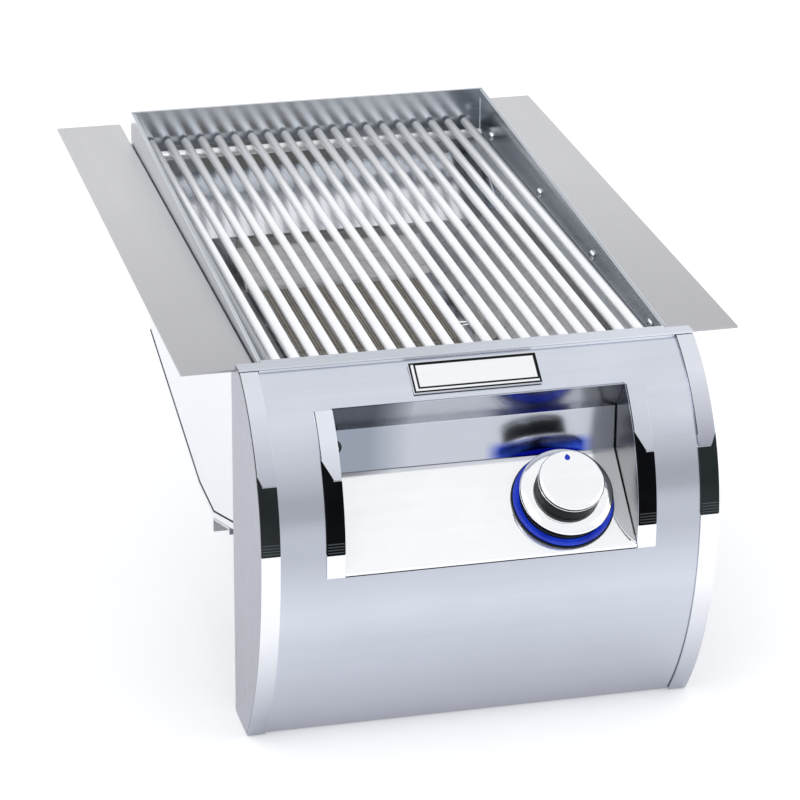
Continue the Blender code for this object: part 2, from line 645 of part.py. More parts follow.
def make_cheeks():
    """Trim at both ends of the control opening, like the side strips but with a slanted tongue."""
    top = CHEEK_INSERT_TOP + TONGUE_RISE
    tip = CHEEK_INSERT_TOP + GAP
    depth = (BULGE_Y - REACH, RECESS_BACK)
    for side, word in ((-1, "left"), (1, "right")):
        low, high = sorted((side * RECESS_HALF, side * (RECESS_HALF + CHEEK_WIDTH)))
        bend = low + TONGUE_SHARE * CHEEK_WIDTH
        sheet = front_sheet(RECESS_TOP, tip, 0, STRIP_SHEET)
        upper = add(f"cheek_upper_{word}", prism(sheet, "x", low, high), POLISHED, smooth=True)
        corner = [(low, top + GAP), (bend, tip), (bend, tip - REACH), (low - REACH, tip - REACH),
                  (low - REACH, top + GAP)]
        shape_by(upper, prism(corner, "y", *depth), "DIFFERENCE")
        sheet = front_sheet(top, CHEEK_INSERT_BOTTOM, 0, STRIP_SHEET)
        insert = add(f"cheek_insert_{word}", prism(sheet, "x", low, high), DARK_GLOSS, smooth=True)
        above = [(low, top), (bend, CHEEK_INSERT_TOP), (high + REACH, CHEEK_INSERT_TOP),
                 (high + REACH, top + REACH), (low, top + REACH)]
        shape_by(insert, prism(above, "y", *depth), "DIFFERENCE")
        sheet = front_sheet(CHEEK_INSERT_BOTTOM - GAP, RECESS_BOTTOM, 0, STRIP_SHEET)
        add(f"cheek_lower_{word}", prism(sheet, "x", low, high), POLISHED, smooth=True)


def make_recess():
    """Hood, side walls and the sloping control face behind the opening."""
    half = RECESS_HALF - GAP
    lip = (front_y(RECESS_TOP, PANEL_INSET), RECESS_TOP - RECESS_SHEET)
    path = [(RECESS_BACK, FACE_BACK + RECESS_SHEET / 2), (RECESS_BACK, RECESS_FOLD), lip]
    hood = add("recess_hood", prism(bent(path, -RECESS_SHEET), "x", -half, half), PANEL_STEEL)
    hole = circle(SWITCH_X, SWITCH_LEVEL, SWITCH_BARREL + GAP, BORE_SIDES)
    shape_by(hood, prism(hole, "y", RECESS_BACK - REACH, RECESS_BACK + REACH), "DIFFERENCE")
    path = [(FACE_FRONT_Y, RECESS_BOTTOM + GAP), (FACE_FRONT_Y, FACE_FRONT), (RECESS_BACK - GAP, FACE_BACK)]
    face = add("control_face", prism(bent(path, -RECESS_SHEET), "x", -half, half), POLISHED)
    hole = prism(circle(0, 0, FACE_HOLE, BORE_SIDES), "z", -REACH, REACH)
    shape_by(face, moved(hole, KNOB_FRAME), "DIFFERENCE")
    inset = PANEL_INSET + FRONT_SHEET + GAP
    margin = 2 * RECESS_SHEET
    behind = RECESS_BACK + margin
    outline = front_arc(RECESS_TOP + margin, RECESS_BOTTOM, inset)
    outline += [(behind, FACE_BACK - margin), (behind, RECESS_FOLD + margin)]
    for side, name in ((-1, "recess_side_left"), (1, "recess_side_right")):
        low, high = sorted((side * RECESS_HALF, side * (RECESS_HALF + RECESS_SHEET)))
        add(name, prism(outline, "x", low, high), PANEL_STEEL)


def make_badge():
    """Bare badge plate on the upper part of the front."""
    angle = math.asin((BADGE_CENTRE - BULGE_Z) / (UPPER_RADIUS - PANEL_INSET))
    middle = (0, front_y(BADGE_CENTRE, PANEL_INSET), BADGE_CENTRE)
    seat = Matrix.Translation(middle) @ Matrix.Rotation(-angle, 4, "X")
    outline = rectangle(-BADGE_WIDTH / 2, BADGE_WIDTH / 2, -BADGE_HEIGHT / 2, BADGE_HEIGHT / 2)
    plate = prism(outline, "y", -GAP - BADGE_SHEET, -GAP)
    add("badge_plate", moved(plate, seat), POLISHED)


def make_knob(axis):
    """Turned knob parts on the axis, from the face outwards."""
    rim = BEZEL_RADIUS
    step = BEZEL_RAISED_RADIUS
    bezel = [(BEZEL_BORE, GAP), (rim, GAP), (rim, BEZEL_BASE), (step, BEZEL_BASE),
             (step, BEZEL_TOP - LED_MARGIN), (step - LED_MARGIN, BEZEL_TOP), (BEZEL_BORE, BEZEL_TOP)]
    add("knob_bezel", turned(bezel, KNOB_SIDES, ring=True), DARK_GLOSS, axis, smooth=True)
    low = BEZEL_BASE + GAP
    high = low + LED_HEIGHT
    inner = step + GAP
    outer = rim - LED_BORDER
    led = [(inner, low), (outer, low), (outer, high - LED_MARGIN), (outer - LED_MARGIN, high), (inner, high)]
    add("led_ring", turned(led, KNOB_SIDES, ring=True), BLUE_LIGHT, axis, smooth=True)
    bulge = SKIRT_BOTTOM + SKIRT_EDGE
    skirt = [(SKIRT_BORE, SKIRT_BOTTOM), (SKIRT_RADIUS - SKIRT_EDGE, SKIRT_BOTTOM), (SKIRT_RADIUS, bulge),
             (SKIRT_RADIUS - KNOB_EDGE, bulge + SKIRT_EDGE),
             (SKIRT_RADIUS - SKIRT_FALL, SKIRT_TOP - KNOB_EDGE), (GRIP_RADIUS + SKIRT_EDGE, SKIRT_TOP),
             (SKIRT_BORE, SKIRT_TOP)]
    add("knob_skirt", turned(skirt, KNOB_SIDES, ring=True), POLISHED, axis, smooth=True)
    hub = SKIRT_BORE - GAP
    bore = STEM_RADIUS + GAP
    seat = SKIRT_TOP + GAP
    grip = [(0, GRIP_TOP), (GRIP_RADIUS - KNOB_EDGE, GRIP_TOP), (GRIP_RADIUS, GRIP_TOP - KNOB_EDGE),
            (GRIP_RADIUS, seat), (hub, seat), (hub, SKIRT_BOTTOM), (bore, SKIRT_BOTTOM),
            (bore, STEM_TOP + GAP), (0, STEM_TOP + GAP)]
    add("knob_grip", turned(grip, KNOB_SIDES), GRIP_DARK, axis, smooth=True)
    base = GRIP_TOP + GAP
    top = base + CAP_HEIGHT
    groove = base + CAP_GROOVE
    neck = CAP_RADIUS - KNOB_EDGE
    cap = [(0, base), (neck, base), (CAP_RADIUS, base + KNOB_EDGE), (CAP_RADIUS, groove),
           (neck, groove + GAP), (neck, groove + KNOB_EDGE + GAP), (CAP_RADIUS, groove + 2 * KNOB_EDGE),
           (CAP_RADIUS - SKIRT_EDGE, top - GAP), (0, top)]
    cap_object = add("knob_cap", turned(cap, KNOB_SIDES), POLISHED, axis, smooth=True)
    floor = top - DOT_DEPTH
    pocket = prism(circle(0, DOT_PLACE, DOT_RADIUS + GAP, DOT_SIDES), "z", floor - GAP, top + REACH)
    shape_by(cap_object, pocket, "DIFFERENCE")
    add("knob_dot", prism(circle(0, DOT_PLACE, DOT_RADIUS, DOT_SIDES), "z", floor, top), BLUE_LIGHT, axis)
    stem = [(0, STEM_BOTTOM), (STEM_RADIUS, STEM_BOTTOM), (STEM_RADIUS, STEM_TOP), (0, STEM_TOP)]
    add("valve_stem", turned(stem, TUBE_SIDES), BRASS, axis, smooth=True)
    foot = PLUNGER_TOP - PLUNGER_HEIGHT
    collar = [(bore, foot), (VALVE_BORE - GAP, foot), (VALVE_BORE - GAP, PLUNGER_TOP), (bore, PLUNGER_TOP)]
    add("valve_plunger", turned(collar, BORE_SIDES, ring=True), BRASS, axis, smooth=True)


def make_gas_train():
    """Valve behind the face, its inlet pipe and fitting, the orifice and the tube into the burner."""
    section = rectangle(-VALVE_HALF, VALVE_HALF, -VALVE_HALF, VALVE_HALF)
    block = prism(section, "z", VALVE_TOP - VALVE_LENGTH, VALVE_TOP)
    valve = add("control_valve", moved(block, KNOB_FRAME), BRASS)
    outlet = prism(circle(KNOB_X, OUTLET_LEVEL, OUTLET_RADIUS, DOT_SIDES), "y", OUTLET_FRONT, OUTLET_BACK)
    shape_by(valve, outlet, "UNION")
    bore = prism(circle(0, 0, VALVE_BORE, BORE_SIDES), "z", VALVE_TOP - VALVE_BORE_DEPTH, VALVE_TOP + REACH)
    shape_by(valve, moved(bore, KNOB_FRAME), "DIFFERENCE")
    inlet = KNOB_FRAME @ Vector((0, 0, -PIPE_DEPTH))
    start = KNOB_X - VALVE_HALF - GAP
    pipe = [(PIPE_BORE, PIPE_END), (PIPE_RADIUS, PIPE_END), (PIPE_RADIUS, start), (PIPE_BORE, start)]
    lay = Matrix.Translation((0, inlet.y, inlet.z)) @ Matrix.Rotation(math.pi / 2, 4, "Y")
    add("gas_pipe", moved(turned(pipe, TUBE_SIDES, ring=True), lay), BRASS, smooth=True)
    end = PIPE_END - GAP
    nut = prism(circle(inlet.y, inlet.z, FITTING_RADIUS, FITTING_SIDES), "x", end - FITTING_LENGTH, end)
    fitting = add("inlet_fitting", nut, BRASS)
    bore = circle(inlet.y, inlet.z, PIPE_BORE, TUBE_SIDES)
    shape_by(fitting, prism(bore, "x", end - FITTING_LENGTH - REACH, end + REACH), "DIFFERENCE")
    tip = OUTLET_BACK + GAP
    spud = prism(circle(KNOB_X, OUTLET_LEVEL, ORIFICE_RADIUS, SCREW_SIDES), "y", tip, tip + ORIFICE_LENGTH)
    add("gas_orifice", spud, BRASS, smooth=True)
    end = BURNER_FRONT - GAP
    inner = VENTURI_RADIUS - VENTURI_SHEET
    tube = [(inner, VENTURI_MOUTH), (VENTURI_RADIUS, VENTURI_MOUTH), (VENTURI_RADIUS, end), (inner, end)]
    lay = Matrix.Translation((KNOB_X, 0, OUTLET_LEVEL)) @ Matrix.Rotation(-math.pi / 2, 4, "X")
    add("venturi_tube", moved(turned(tube, TUBE_SIDES, ring=True), lay), STAINLESS, smooth=True)


def make_light_switch():
    """Push switch for the knob light, in the recess's rear wall."""
    seat = bpy.data.objects.new("switch_axis", None)
    bpy.context.scene.collection.objects.link(seat)
    seat.location = (SWITCH_X, RECESS_BACK, SWITCH_LEVEL)
    seat.rotation_euler = (math.pi / 2, 0, 0)
    bore = SWITCH_BUTTON + GAP
    housing = [(0, -SWITCH_DEPTH), (SWITCH_BARREL, -SWITCH_DEPTH), (SWITCH_BARREL, GAP), (SWITCH_RIM, GAP),
               (SWITCH_RIM, SWITCH_RIM_HEIGHT), (bore, SWITCH_RIM_HEIGHT + GAP), (bore, -SWITCH_SEAT),
               (0, -SWITCH_SEAT)]
    add("switch_housing", turned(housing, TUBE_SIDES), DARK_GLOSS, seat, smooth=True)
    low = GAP + SWITCH_TRAVEL - SWITCH_SEAT
    button = [(0, low), (SWITCH_BUTTON, low), (SWITCH_BUTTON, SWITCH_PROUD - KNOB_EDGE), (0, SWITCH_PROUD)]
    add("switch_button", turned(button, TUBE_SIDES), POLISHED, seat, smooth=True)


def make_front_brackets():
    """Brackets that tie the front's side plates to the box walls."""
    path = [(LEG_IN, FRONT_BRACKET_LEG), (LEG_IN, GAP), (SIDE_IN - GAP, GAP), (SIDE_IN - GAP, SIDE_BACK)]
    outline = bent(path, FRONT_BRACKET_SHEET)
    for side, name in ((-1, "front_bracket_left"), (1, "front_bracket_right")):
        section = [(side * x, y) for x, y in outline]
        add(name, prism(section, "z", FRONT_BRACKET_BOTTOM, FRONT_BRACKET_TOP), STAINLESS)


def main():
    for old in list(bpy.data.objects):
        bpy.data.objects.remove(old)
    knob_axis = bpy.data.objects.new("knob_axis", None)
    bpy.context.scene.collection.objects.link(knob_axis)
    knob_axis.location = KNOB_SEAT
    knob_axis.rotation_euler = (FACE_TILT, 0, 0)
    make_flanges()
    make_side_walls()
    make_front_wall()
    make_rear_wall()
    make_bottom_pan()
    make_base_rail()
    make_cooking_grid()
    make_grid_ledges()
    make_burner()
    make_deflectors()
    make_igniter()
    make_front_panel()
    make_side_plates()
    make_side_strips()
    make_cheeks()
    make_recess()
    make_badge()
    make_knob(knob_axis)
    make_gas_train()
    make_light_switch()
    make_front_brackets()


main()
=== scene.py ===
"""Looks for the built-in searing station: materials, fine pieces, studio and camera."""
import math

import bmesh
import bpy
from mathutils import Matrix, Vector


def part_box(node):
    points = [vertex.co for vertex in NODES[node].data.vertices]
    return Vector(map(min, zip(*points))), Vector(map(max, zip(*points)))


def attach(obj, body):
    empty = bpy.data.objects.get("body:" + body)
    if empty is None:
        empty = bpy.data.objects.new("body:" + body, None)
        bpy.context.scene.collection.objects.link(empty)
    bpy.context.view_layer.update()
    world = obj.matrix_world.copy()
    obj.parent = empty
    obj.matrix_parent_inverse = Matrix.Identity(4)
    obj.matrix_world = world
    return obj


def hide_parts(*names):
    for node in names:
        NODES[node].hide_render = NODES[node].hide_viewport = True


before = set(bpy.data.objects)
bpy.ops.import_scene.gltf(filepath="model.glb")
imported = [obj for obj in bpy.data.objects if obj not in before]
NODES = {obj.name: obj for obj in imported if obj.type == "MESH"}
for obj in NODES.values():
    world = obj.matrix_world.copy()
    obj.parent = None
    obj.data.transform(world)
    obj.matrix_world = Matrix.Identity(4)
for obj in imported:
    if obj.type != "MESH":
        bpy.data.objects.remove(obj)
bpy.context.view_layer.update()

# Clearance between pieces as in the solids, distance that merges points, and size of an eased edge
GAP = 0.0003
MERGE = 1e-7
EDGE = 0.0006

# Angle between faces, in degrees, beyond which their edge is sharp
SHARP_ANGLE = 40

# A rounded corner takes at most the length of each side divided by this
ROUND_LIMIT = 2.2

# Box walls
WALL_OUT = 0.132
HOUSING_BACK = 0.3845
HOUSING_BACK_DEPTH = 0.126
HOUSING_FRONT_DEPTH = 0.118
HOUSING_DEEP_DEPTH = 0.167
HOUSING_DEEP_FROM = 0.150
HOUSING_DEEP_TO = 0.200
OUTER_SKIN = (WALL_OUT - 0.0004, WALL_OUT - 0.0003)

# Slope in the rear wall
SLOPE_TOP = -0.0255
SLOPE_BOTTOM = -0.0550

# Dark lines in seams: sheet, widths, height over the lower edge and distance from a corner
SEAM_SHEET = 0.0004
HOUSING_SEAM = 0.0011
RECESS_SEAM = 0.0006
SEAM_RISE = 0.0050
SEAM_INSET = 0.0006
SEAM_FOOT = 0.0020

# Curved front, two tangent arcs in side view
BULGE_Y = -0.0760
BULGE_Z = -0.0965
UPPER_RADIUS = 0.1125
LOWER_RADIUS = 0.2266
STRIP_SHEET = 0.0012
PANEL_INSET = STRIP_SHEET + GAP
PANEL_SHEET = 0.0015
TRIM_BEVEL = 0.00035
TRIM_EDGE_ANGLE = 50
SKIN_BEVEL = 0.0004
SKIN_EDGE_ANGLE = 20
FRONT_TOP = 0.0045
FRONT_BOTTOM = -0.2400
LIP_LEVEL = 0.0047
HEM_SHEET = 0.0010
HEM_HEIGHT = 0.0018
HEM_BEVEL = 0.0003
RETURN_LENGTH = 0.014
INSERT_TOP = -0.0500
INSERT_BOTTOM = -0.0920
CHEEK_BOTTOM = -0.0950
STRIP_LINE = 0.0005
TIP_ROUND = 0.0016
TIP_HEIGHT = 0.0025
ROW_STEP = 0.0025
RIB_COUNT = 4
RIB_PITCH = 0.0019
RIB_WIDTH = 0.0007
RIB_PROUD = 0.00006
LINE_SHEET = 4 * RIB_PROUD
LINE_BEVEL = RIB_PROUD / 2

# Slanted ends of the trim's upper parts: height, and share of the width
STRIP_TONGUE = (0.0070, 0.28)
CHEEK_TONGUE = (0.0120, 0.60)

# Control recess
RECESS_TOP = -0.0140
RECESS_BOTTOM = -0.1110
RECESS_BACK = -0.0220
RECESS_FOLD = -0.0360
FACE_BACK = -0.0653
FACE_FRONT = -0.1090
FACE_FRONT_Y = -0.0743
FACE_SEAM_TOP = RECESS_BOTTOM + 0.0002
FACE_SEAM_BOTTOM = RECESS_BOTTOM - 0.0006
FACE_TILT = math.atan2(FACE_BACK - FACE_FRONT, RECESS_BACK - FACE_FRONT_Y)

# Knob, heights along its axis from the control face
KNOB_X = 0.0520
KNOB_RISE = 0.0006
BEZEL_RADIUS = 0.0330
BEZEL_RAISED_RADIUS = 0.0280
BEZEL_BORE = 0.0070
BEZEL_BASE = 0.0014
BEZEL_TOP = 0.0058
LED_RADIUS = 0.0320
LED_TOP = 0.0045
SKIRT_RADIUS = 0.0300
SKIRT_BOTTOM = 0.0115
SKIRT_TOP = 0.0161
SKIRT_BORE = 0.0120
SKIRT_LIP = 0.0015
SKIRT_WAIST = 0.0030
SKIRT_SLOPE = 0.0035
SKIRT_ROUND = 0.0009
GRIP_RADIUS = 0.0206
GRIP_TOP = 0.0265
GRIP_FLARE = 0.0022
GRIP_ROUND = 0.0004
CAP_RADIUS = 0.0210
CAP_TOP = 0.0313
CAP_GROOVE_LOW = 0.0009
CAP_GROOVE_HEIGHT = 0.0018
CAP_GROOVE_DEPTH = 0.0007
CAP_RIM = 0.0021
CAP_RIM_INSET = 0.0001
CAP_EASE = 0.0020
CAP_CROWN = 0.0002
STEM_BORE = 0.0043
STEM_SEAT = 0.0233
DROP_PLACE = 0.0149
DROP_RADIUS = 0.0018
DROP_POINT = 0.30
DROP_SIDES = 40
DROP_LAYERS = ((1.0, -0.0002), (0.97, 0.0001))

# Blue light of the ring painted on the recess's rear wall: middle, soft edge to the sides and soft edge
# upwards
GLOW_X = 0.0450
GLOW_EDGE = (0.037, 0.026)
GLOW_RISE = (FACE_BACK + 0.0125, FACE_BACK + 0.0070)

# Painted shade at the left end of the recess's hood, and the blur at its fold
HOOD_SHADE = (-0.040, -0.066)
FOLD_BLUR = 0.0008

# Where painted light or shade on metal starts and is full: an axis with two coordinates, or two distances
# from a third
FLANGE_PAINTED_SHADE = ("Y", 0.34, -0.02)
WALL_OUTSIDE_PAINTED_LIGHT = ("X", *OUTER_SKIN, 0.0)
WALL_RIGHT_PAINTED_SHADE = ("X", *OUTER_SKIN)
REAR_SLOPE_PAINTED_LIGHT = ("Z", SLOPE_TOP, SLOPE_TOP - 0.0015)
REAR_FOOT = ("Z", SLOPE_BOTTOM + 0.0010, SLOPE_BOTTOM)
LEDGE_UNDER_PAINTED_LIGHT = ("Z", -0.0100, -0.0106)
PANEL_FOOT_PAINTED_SHADE = ("Z", -0.120, -0.260)
PANEL_BAND_PAINTED_SHADE = ("Z", 0.060, 0.018, -0.078)
RIM_RIGHT_PAINTED_LIGHT = ("X", -0.02, 0.11)
TRIM_PAINTED_SHADE = ("Z", -0.010, -0.052)
TONGUE_PAINTED_SHADE = ("Z", -0.024, -0.052)
STRIP_PAINTED_SHADE = ("Z", -0.140, -0.225)

# Light switch
SWITCH_X = -0.0883
SWITCH_LEVEL = -0.0472
SWITCH_RIM = 0.0046
SWITCH_BARREL = 0.0036
SWITCH_BORE = 0.0027
SWITCH_BUTTON = 0.0024
SWITCH_DEPTH = 0.0130
SWITCH_SEAT = 0.0050
SWITCH_TRAVEL = 0.0020
SWITCH_PROUD = 0.0034
SWITCH_STEPS = 48
SWITCH_ROUND = 0.0002
SWITCH_LIP = ((SWITCH_RIM, 0.0008), (SWITCH_RIM - 0.0004, 0.0012), (SWITCH_BORE + 0.0004, 0.0014),
              (SWITCH_BORE, 0.0010))
SWITCH_CROWN = ((SWITCH_BUTTON, SWITCH_PROUD - 0.0007), (SWITCH_BUTTON - 0.0004, SWITCH_PROUD - 0.0002),
                (0.0, SWITCH_PROUD))

# Grid
ROD_COUNT = 20
ROD_PITCH = 0.0124
ROD_RADIUS = 0.0032
CROSS_RADIUS = 0.0035
CROSS_FRONT_INSET = 0.009
CROSS_REAR_INSET = 0.012
BAR_SIDES = 20
WELD_RADIUS = 0.0008
WELD_OFFSET = 0.0012
WELD_DROP = 0.0004
WELD_SHAPE = (1.4, 1.1, 0.8)
WELD_VARIETY = 0.3

# Flange screws
SCREW_COUNT = 4
SCREW_FIRST = 0.0275
SCREW_PITCH = 0.1290
SCREW_LEVEL = -0.0030
SCREW_SEAT = 0.1307
SCREW_PROFILE = ((0.0, 0.0021), (0.0012, 0.00205), (0.0024, 0.0017), (0.0033, 0.0009), (0.0035, 0.0),
                 (0.0018, 0.0), (0.0018, -0.0058), (0.0, -0.0058))
SCREW_TURN = 0.4
SLOT_SIZE = (0.0030, 0.0006, 0.0004)
SLOT_LEVEL = 0.00195
NUT_SEAT = 0.1339
NUT_RADIUS = 0.0035
NUT_HEIGHT = 0.0022
NUT_BEVEL = 0.0002
SMALL_STEPS = 24

# Rivets of the front brackets
RIVET_PROFILE = ((0.0, 0.0014), (0.0012, 0.0013), (0.0023, 0.0008), (0.0028, 0.0), (0.0, 0.0))
RIVET_SEAT = WALL_OUT + 0.0018
RIVET_Y = 0.021
RIVET_INSET = 0.015

# Distance of the corner folds under the rear deflector's top
CORNER_LIP = 0.006

# Gas inlet's thread and hexagon, radii and lengths
INLET_BORE = 0.0051
INLET_NOSE = 0.0078
THREAD_ROOT = 0.0085
THREAD_CREST = 0.0093
THREAD_TURNS = 9
THREAD_FIRST = 0.0006
THREAD_PITCH = 0.0013
HEX_RADIUS = 0.0109
HEX_START = 0.0125
INLET_LENGTH = 0.0220
INLET_STEPS = 48

# Badge plate, a dark line at its rim for its dark edge and painted shadow under it, and an inlaid line:
# left, right, bottom and top of each
BADGE_CENTRE = -0.0048
BADGE_SHEET = 0.0015
BADGE_LINES = ((-0.0408, 0.0408, -0.01105, 0.01105), (-0.0378, 0.0400, -0.0082, 0.0104))
BADGE_LINE_WIDTH = 0.0013

# Camera that matches the photograph
LENS = 161.026
CAMERA_PLACE = (-0.54102847, -2.00309987, 0.83320513)
CAMERA_RIGHT = (0.97078784, -0.23987334, 0.00563463)
CAMERA_UP = (0.0873701, 0.37527056, 0.92278842)
CAMERA_BACK = (-0.22346685, -0.89533948, 0.38526586)
SENSOR_WIDTH = 36.0
CLIP_NEAR = 0.05
CLIP_FAR = 60.0

# Studio floor
FLOOR_GLOW = 0.28
FLOOR_SIZE = 18.0
FLOOR_SHEET = 0.001

# Studio lamps: the point they look at, then each one's place, size and power
LAMP_TARGET = (0.0, 0.1, -0.05)
KEY_LAMP = ((-0.9, -1.1, 1.9), 1.2, 9.0)
FILL_LAMP = ((1.3, -0.9, 1.0), 0.9, 3.0)

# Room's strength: diffuse light, metal, metal at the front horizon; how the horizon fades up and back
ROOM_SOFT = 0.92
ROOM_BRIGHT = 1.03
ROOM_HORIZON = 0.84
ROOM_RISE = (0.05, 0.60)
ROOM_FRONT = (-0.7, 0.0)

# Places of turned pieces
FACE_MIDDLE = Vector((KNOB_X, (RECESS_BACK + FACE_FRONT_Y) / 2, (FACE_BACK + FACE_FRONT) / 2))
KNOB_SEAT = FACE_MIDDLE + Vector((0, math.cos(FACE_TILT), math.sin(FACE_TILT))) * KNOB_RISE
KNOB_FRAME = Matrix.Translation(KNOB_SEAT) @ Matrix.Rotation(FACE_TILT, 4, "X")
SWITCH_PLACE = (SWITCH_X, RECESS_BACK, SWITCH_LEVEL)
SWITCH_FRAME = Matrix.Translation(SWITCH_PLACE) @ Matrix.Rotation(math.pi / 2, 4, "X")


# Materials

class Maker:
    """Builds one material's nodes."""

    def __init__(self, name):
        self.material = bpy.data.materials.new(name)
        self.material.use_nodes = True
        self.tree = self.material.node_tree
        self.shader = self.tree.nodes["Principled BSDF"]

    def node(self, kind, **values):
        made = self.tree.nodes.new(kind)
        for key, value in values.items():
            setattr(made, key, value)
        return made

    def link(self, source, target):
        self.tree.links.new(source, target)

    def place(self, scale=(1, 1, 1), turn=(0, 0, 0)):
        """Object coordinates, stretched."""
        coords = self.node("ShaderNodeTexCoord")
        mapping = self.node("ShaderNodeMapping")
        mapping.inputs["Scale"].default_value = scale
        mapping.inputs["Rotation"].default_value = turn
        self.link(coords.outputs["Object"], mapping.inputs["Vector"])
        return mapping.outputs["Vector"]

    def noise(self, vector, scale=1.0, detail=3.0, rough=0.55):
        tex = self.node("ShaderNodeTexNoise")
        tex.inputs["Scale"].default_value = scale
        tex.inputs["Detail"].default_value = detail
        tex.inputs["Roughness"].default_value = rough
        self.link(vector, tex.inputs["Vector"])
        return tex.outputs["Fac"]

    def spread(self, value, low, high, low_in=0.3, high_in=0.7):
        """A value remapped to a range."""
        made = self.node("ShaderNodeMapRange")
        made.inputs["From Min"].default_value = low_in
        made.inputs["From Max"].default_value = high_in
        made.inputs["To Min"].default_value = low
        made.inputs["To Max"].default_value = high
        self.link(value, made.inputs["Value"])
        return made.outputs["Result"]

    def along(self, axis, low_in, high_in, centre=None):
        """From 0 to 1 between two object coordinates, or between two distances from a centre."""
        split = self.node("ShaderNodeSeparateXYZ")
        self.link(self.place(), split.inputs["Vector"])
        value = split.outputs[axis]
        if centre is not None:
            apart = self.node("ShaderNodeMath", operation="SUBTRACT")
            self.link(value, apart.inputs[0])
            apart.inputs[1].default_value = centre
            size = self.node("ShaderNodeMath", operation="ABSOLUTE")
            self.link(apart.outputs[0], size.inputs[0])
            value = size.outputs[0]
        return self.spread(value, 0.0, 1.0, low_in, high_in)

    def mixed(self, first, second, share):
        """Two values mixed."""
        made = self.node("ShaderNodeMix", data_type="FLOAT")
        made.inputs["Factor"].default_value = share
        self.link(first, made.inputs["A"])
        self.link(second, made.inputs["B"])
        return made.outputs["Result"]

    def tint(self, factor, dark, light):
        """A colour between two by a factor."""
        made = self.node("ShaderNodeMix", data_type="RGBA")
        self.link(factor, made.inputs["Factor"])
        made.inputs["A"].default_value = (*dark, 1)
        made.inputs["B"].default_value = (*light, 1)
        return made.outputs["Result"]

    def over(self, factor, under, colour):
        """A colour laid over another by a factor."""
        made = self.node("ShaderNodeMix", data_type="RGBA")
        self.link(factor, made.inputs["Factor"])
        self.link(under, made.inputs["A"])
        made.inputs["B"].default_value = (*colour, 1)
        return made.outputs["Result"]

    def base(self, colour):
        self.link(colour, self.shader.inputs["Base Color"])

    def rough(self, value, low, high):
        self.link(self.spread(value, low, high), self.shader.inputs["Roughness"])

    def bump(self, height, strength, distance):
        made = self.node("ShaderNodeBump")
        made.inputs["Strength"].default_value = strength
        made.inputs["Distance"].default_value = distance
        self.link(height, made.inputs["Height"])
        self.link(made.outputs["Normal"], self.shader.inputs["Normal"])

    def set(self, **values):
        for key, value in values.items():
            self.shader.inputs[key.replace("_", " ")].default_value = value


def grain_scale(along, coarse=9.0, fine=520.0):
    """Texture scale whose lines run along one axis."""
    return tuple(coarse if axis == along else fine for axis in "xyz")


def brushed(name, dark, light, along, rough=(0.24, 0.36), depth=0.05, painted_light=(), metal=1.0):
    """Brushed stainless steel: lines along one axis, soft clouds, and painted light and shade laid over
    parts.
    """
    make = Maker(name)
    lines = make.noise(make.place(grain_scale(along)), 1.0, 4.0, 0.7)
    broad = make.noise(make.place(grain_scale(along, 4.0, 90.0)), 1.0, 2.0)
    clouds = make.noise(make.place(), 16.0, 3.0)
    tone = make.mixed(make.mixed(lines, broad, 0.45), clouds, 0.45)
    colour = make.tint(make.spread(tone, 0.0, 1.0, 0.36, 0.64), dark, light)
    # Painted light and shade: each span lays a lighter or darker colour over part of the steel
    for span, painted_colour in painted_light:
        colour = make.over(make.along(*span), colour, painted_colour)
    make.base(colour)
    make.rough(make.mixed(lines, clouds, 0.5), *rough)
    make.bump(lines, depth, 0.0002)
    make.set(Metallic=metal)
    return make.material


def polished(name, colour, rough=(0.03, 0.09), painted_light=(), metal=1.0):
    """Mirror-polished steel with a faint haze, wiping marks, and painted light and shade laid over parts."""
    make = Maker(name)
    haze = make.noise(make.place(), 55.0, 4.0, 0.6)
    wipe = make.noise(make.place((20, 180, 20), (0.4, 0.2, 0.6)), 1.0, 2.0)
    tone = make.mixed(haze, wipe, 0.5)
    steel = make.tint(make.spread(tone, 0.0, 1.0), tuple(c * 0.95 for c in colour), colour)
    # Painted light and shade: each span lays a lighter or darker colour over part of the steel
    for span, painted_colour in painted_light:
        steel = make.over(make.along(*span), steel, painted_colour)
    make.base(steel)
    make.rough(tone, *rough)
    make.set(Metallic=metal)
    return make.material


def hood_steel():
    """Recess sheet: smooth steel, with painted shade below its fold, at its left end and most under the
    hood, and the ring's blue light painted on it.
    """
    make = Maker("hood_steel")
    clouds = make.noise(make.place(), 18.0, 3.0)
    steel = make.tint(make.spread(clouds, 0.0, 1.0), (0.52, 0.54, 0.60), (0.58, 0.60, 0.66))
    # Painted shade: a little darker below the fold
    steel = make.over(make.along("Z", RECESS_FOLD, RECESS_FOLD - FOLD_BLUR), steel, (0.475, 0.495, 0.55))
    left = make.along("X", *HOOD_SHADE)
    under = make.node("ShaderNodeMath", operation="MULTIPLY")
    make.link(left, under.inputs[0])
    make.link(make.along("Z", RECESS_FOLD, RECESS_FOLD + FOLD_BLUR), under.inputs[1])
    shaded = make.over(left, steel, (0.26, 0.29, 0.345))
    shaded = make.over(under.outputs[0], shaded, (0.08, 0.09, 0.115))
    # Painted light: the ring's blue glow laid on the rear wall around the knob
    painted_glow = make.node("ShaderNodeMath", operation="MULTIPLY")
    make.link(make.along("X", *GLOW_EDGE, GLOW_X), painted_glow.inputs[0])
    make.link(make.along("Z", *GLOW_RISE), painted_glow.inputs[1])
    make.base(make.over(painted_glow.outputs[0], shaded, (0.035, 0.085, 0.52)))
    make.rough(clouds, 0.13, 0.19)
    make.set(Metallic=1.0)
    return make.material


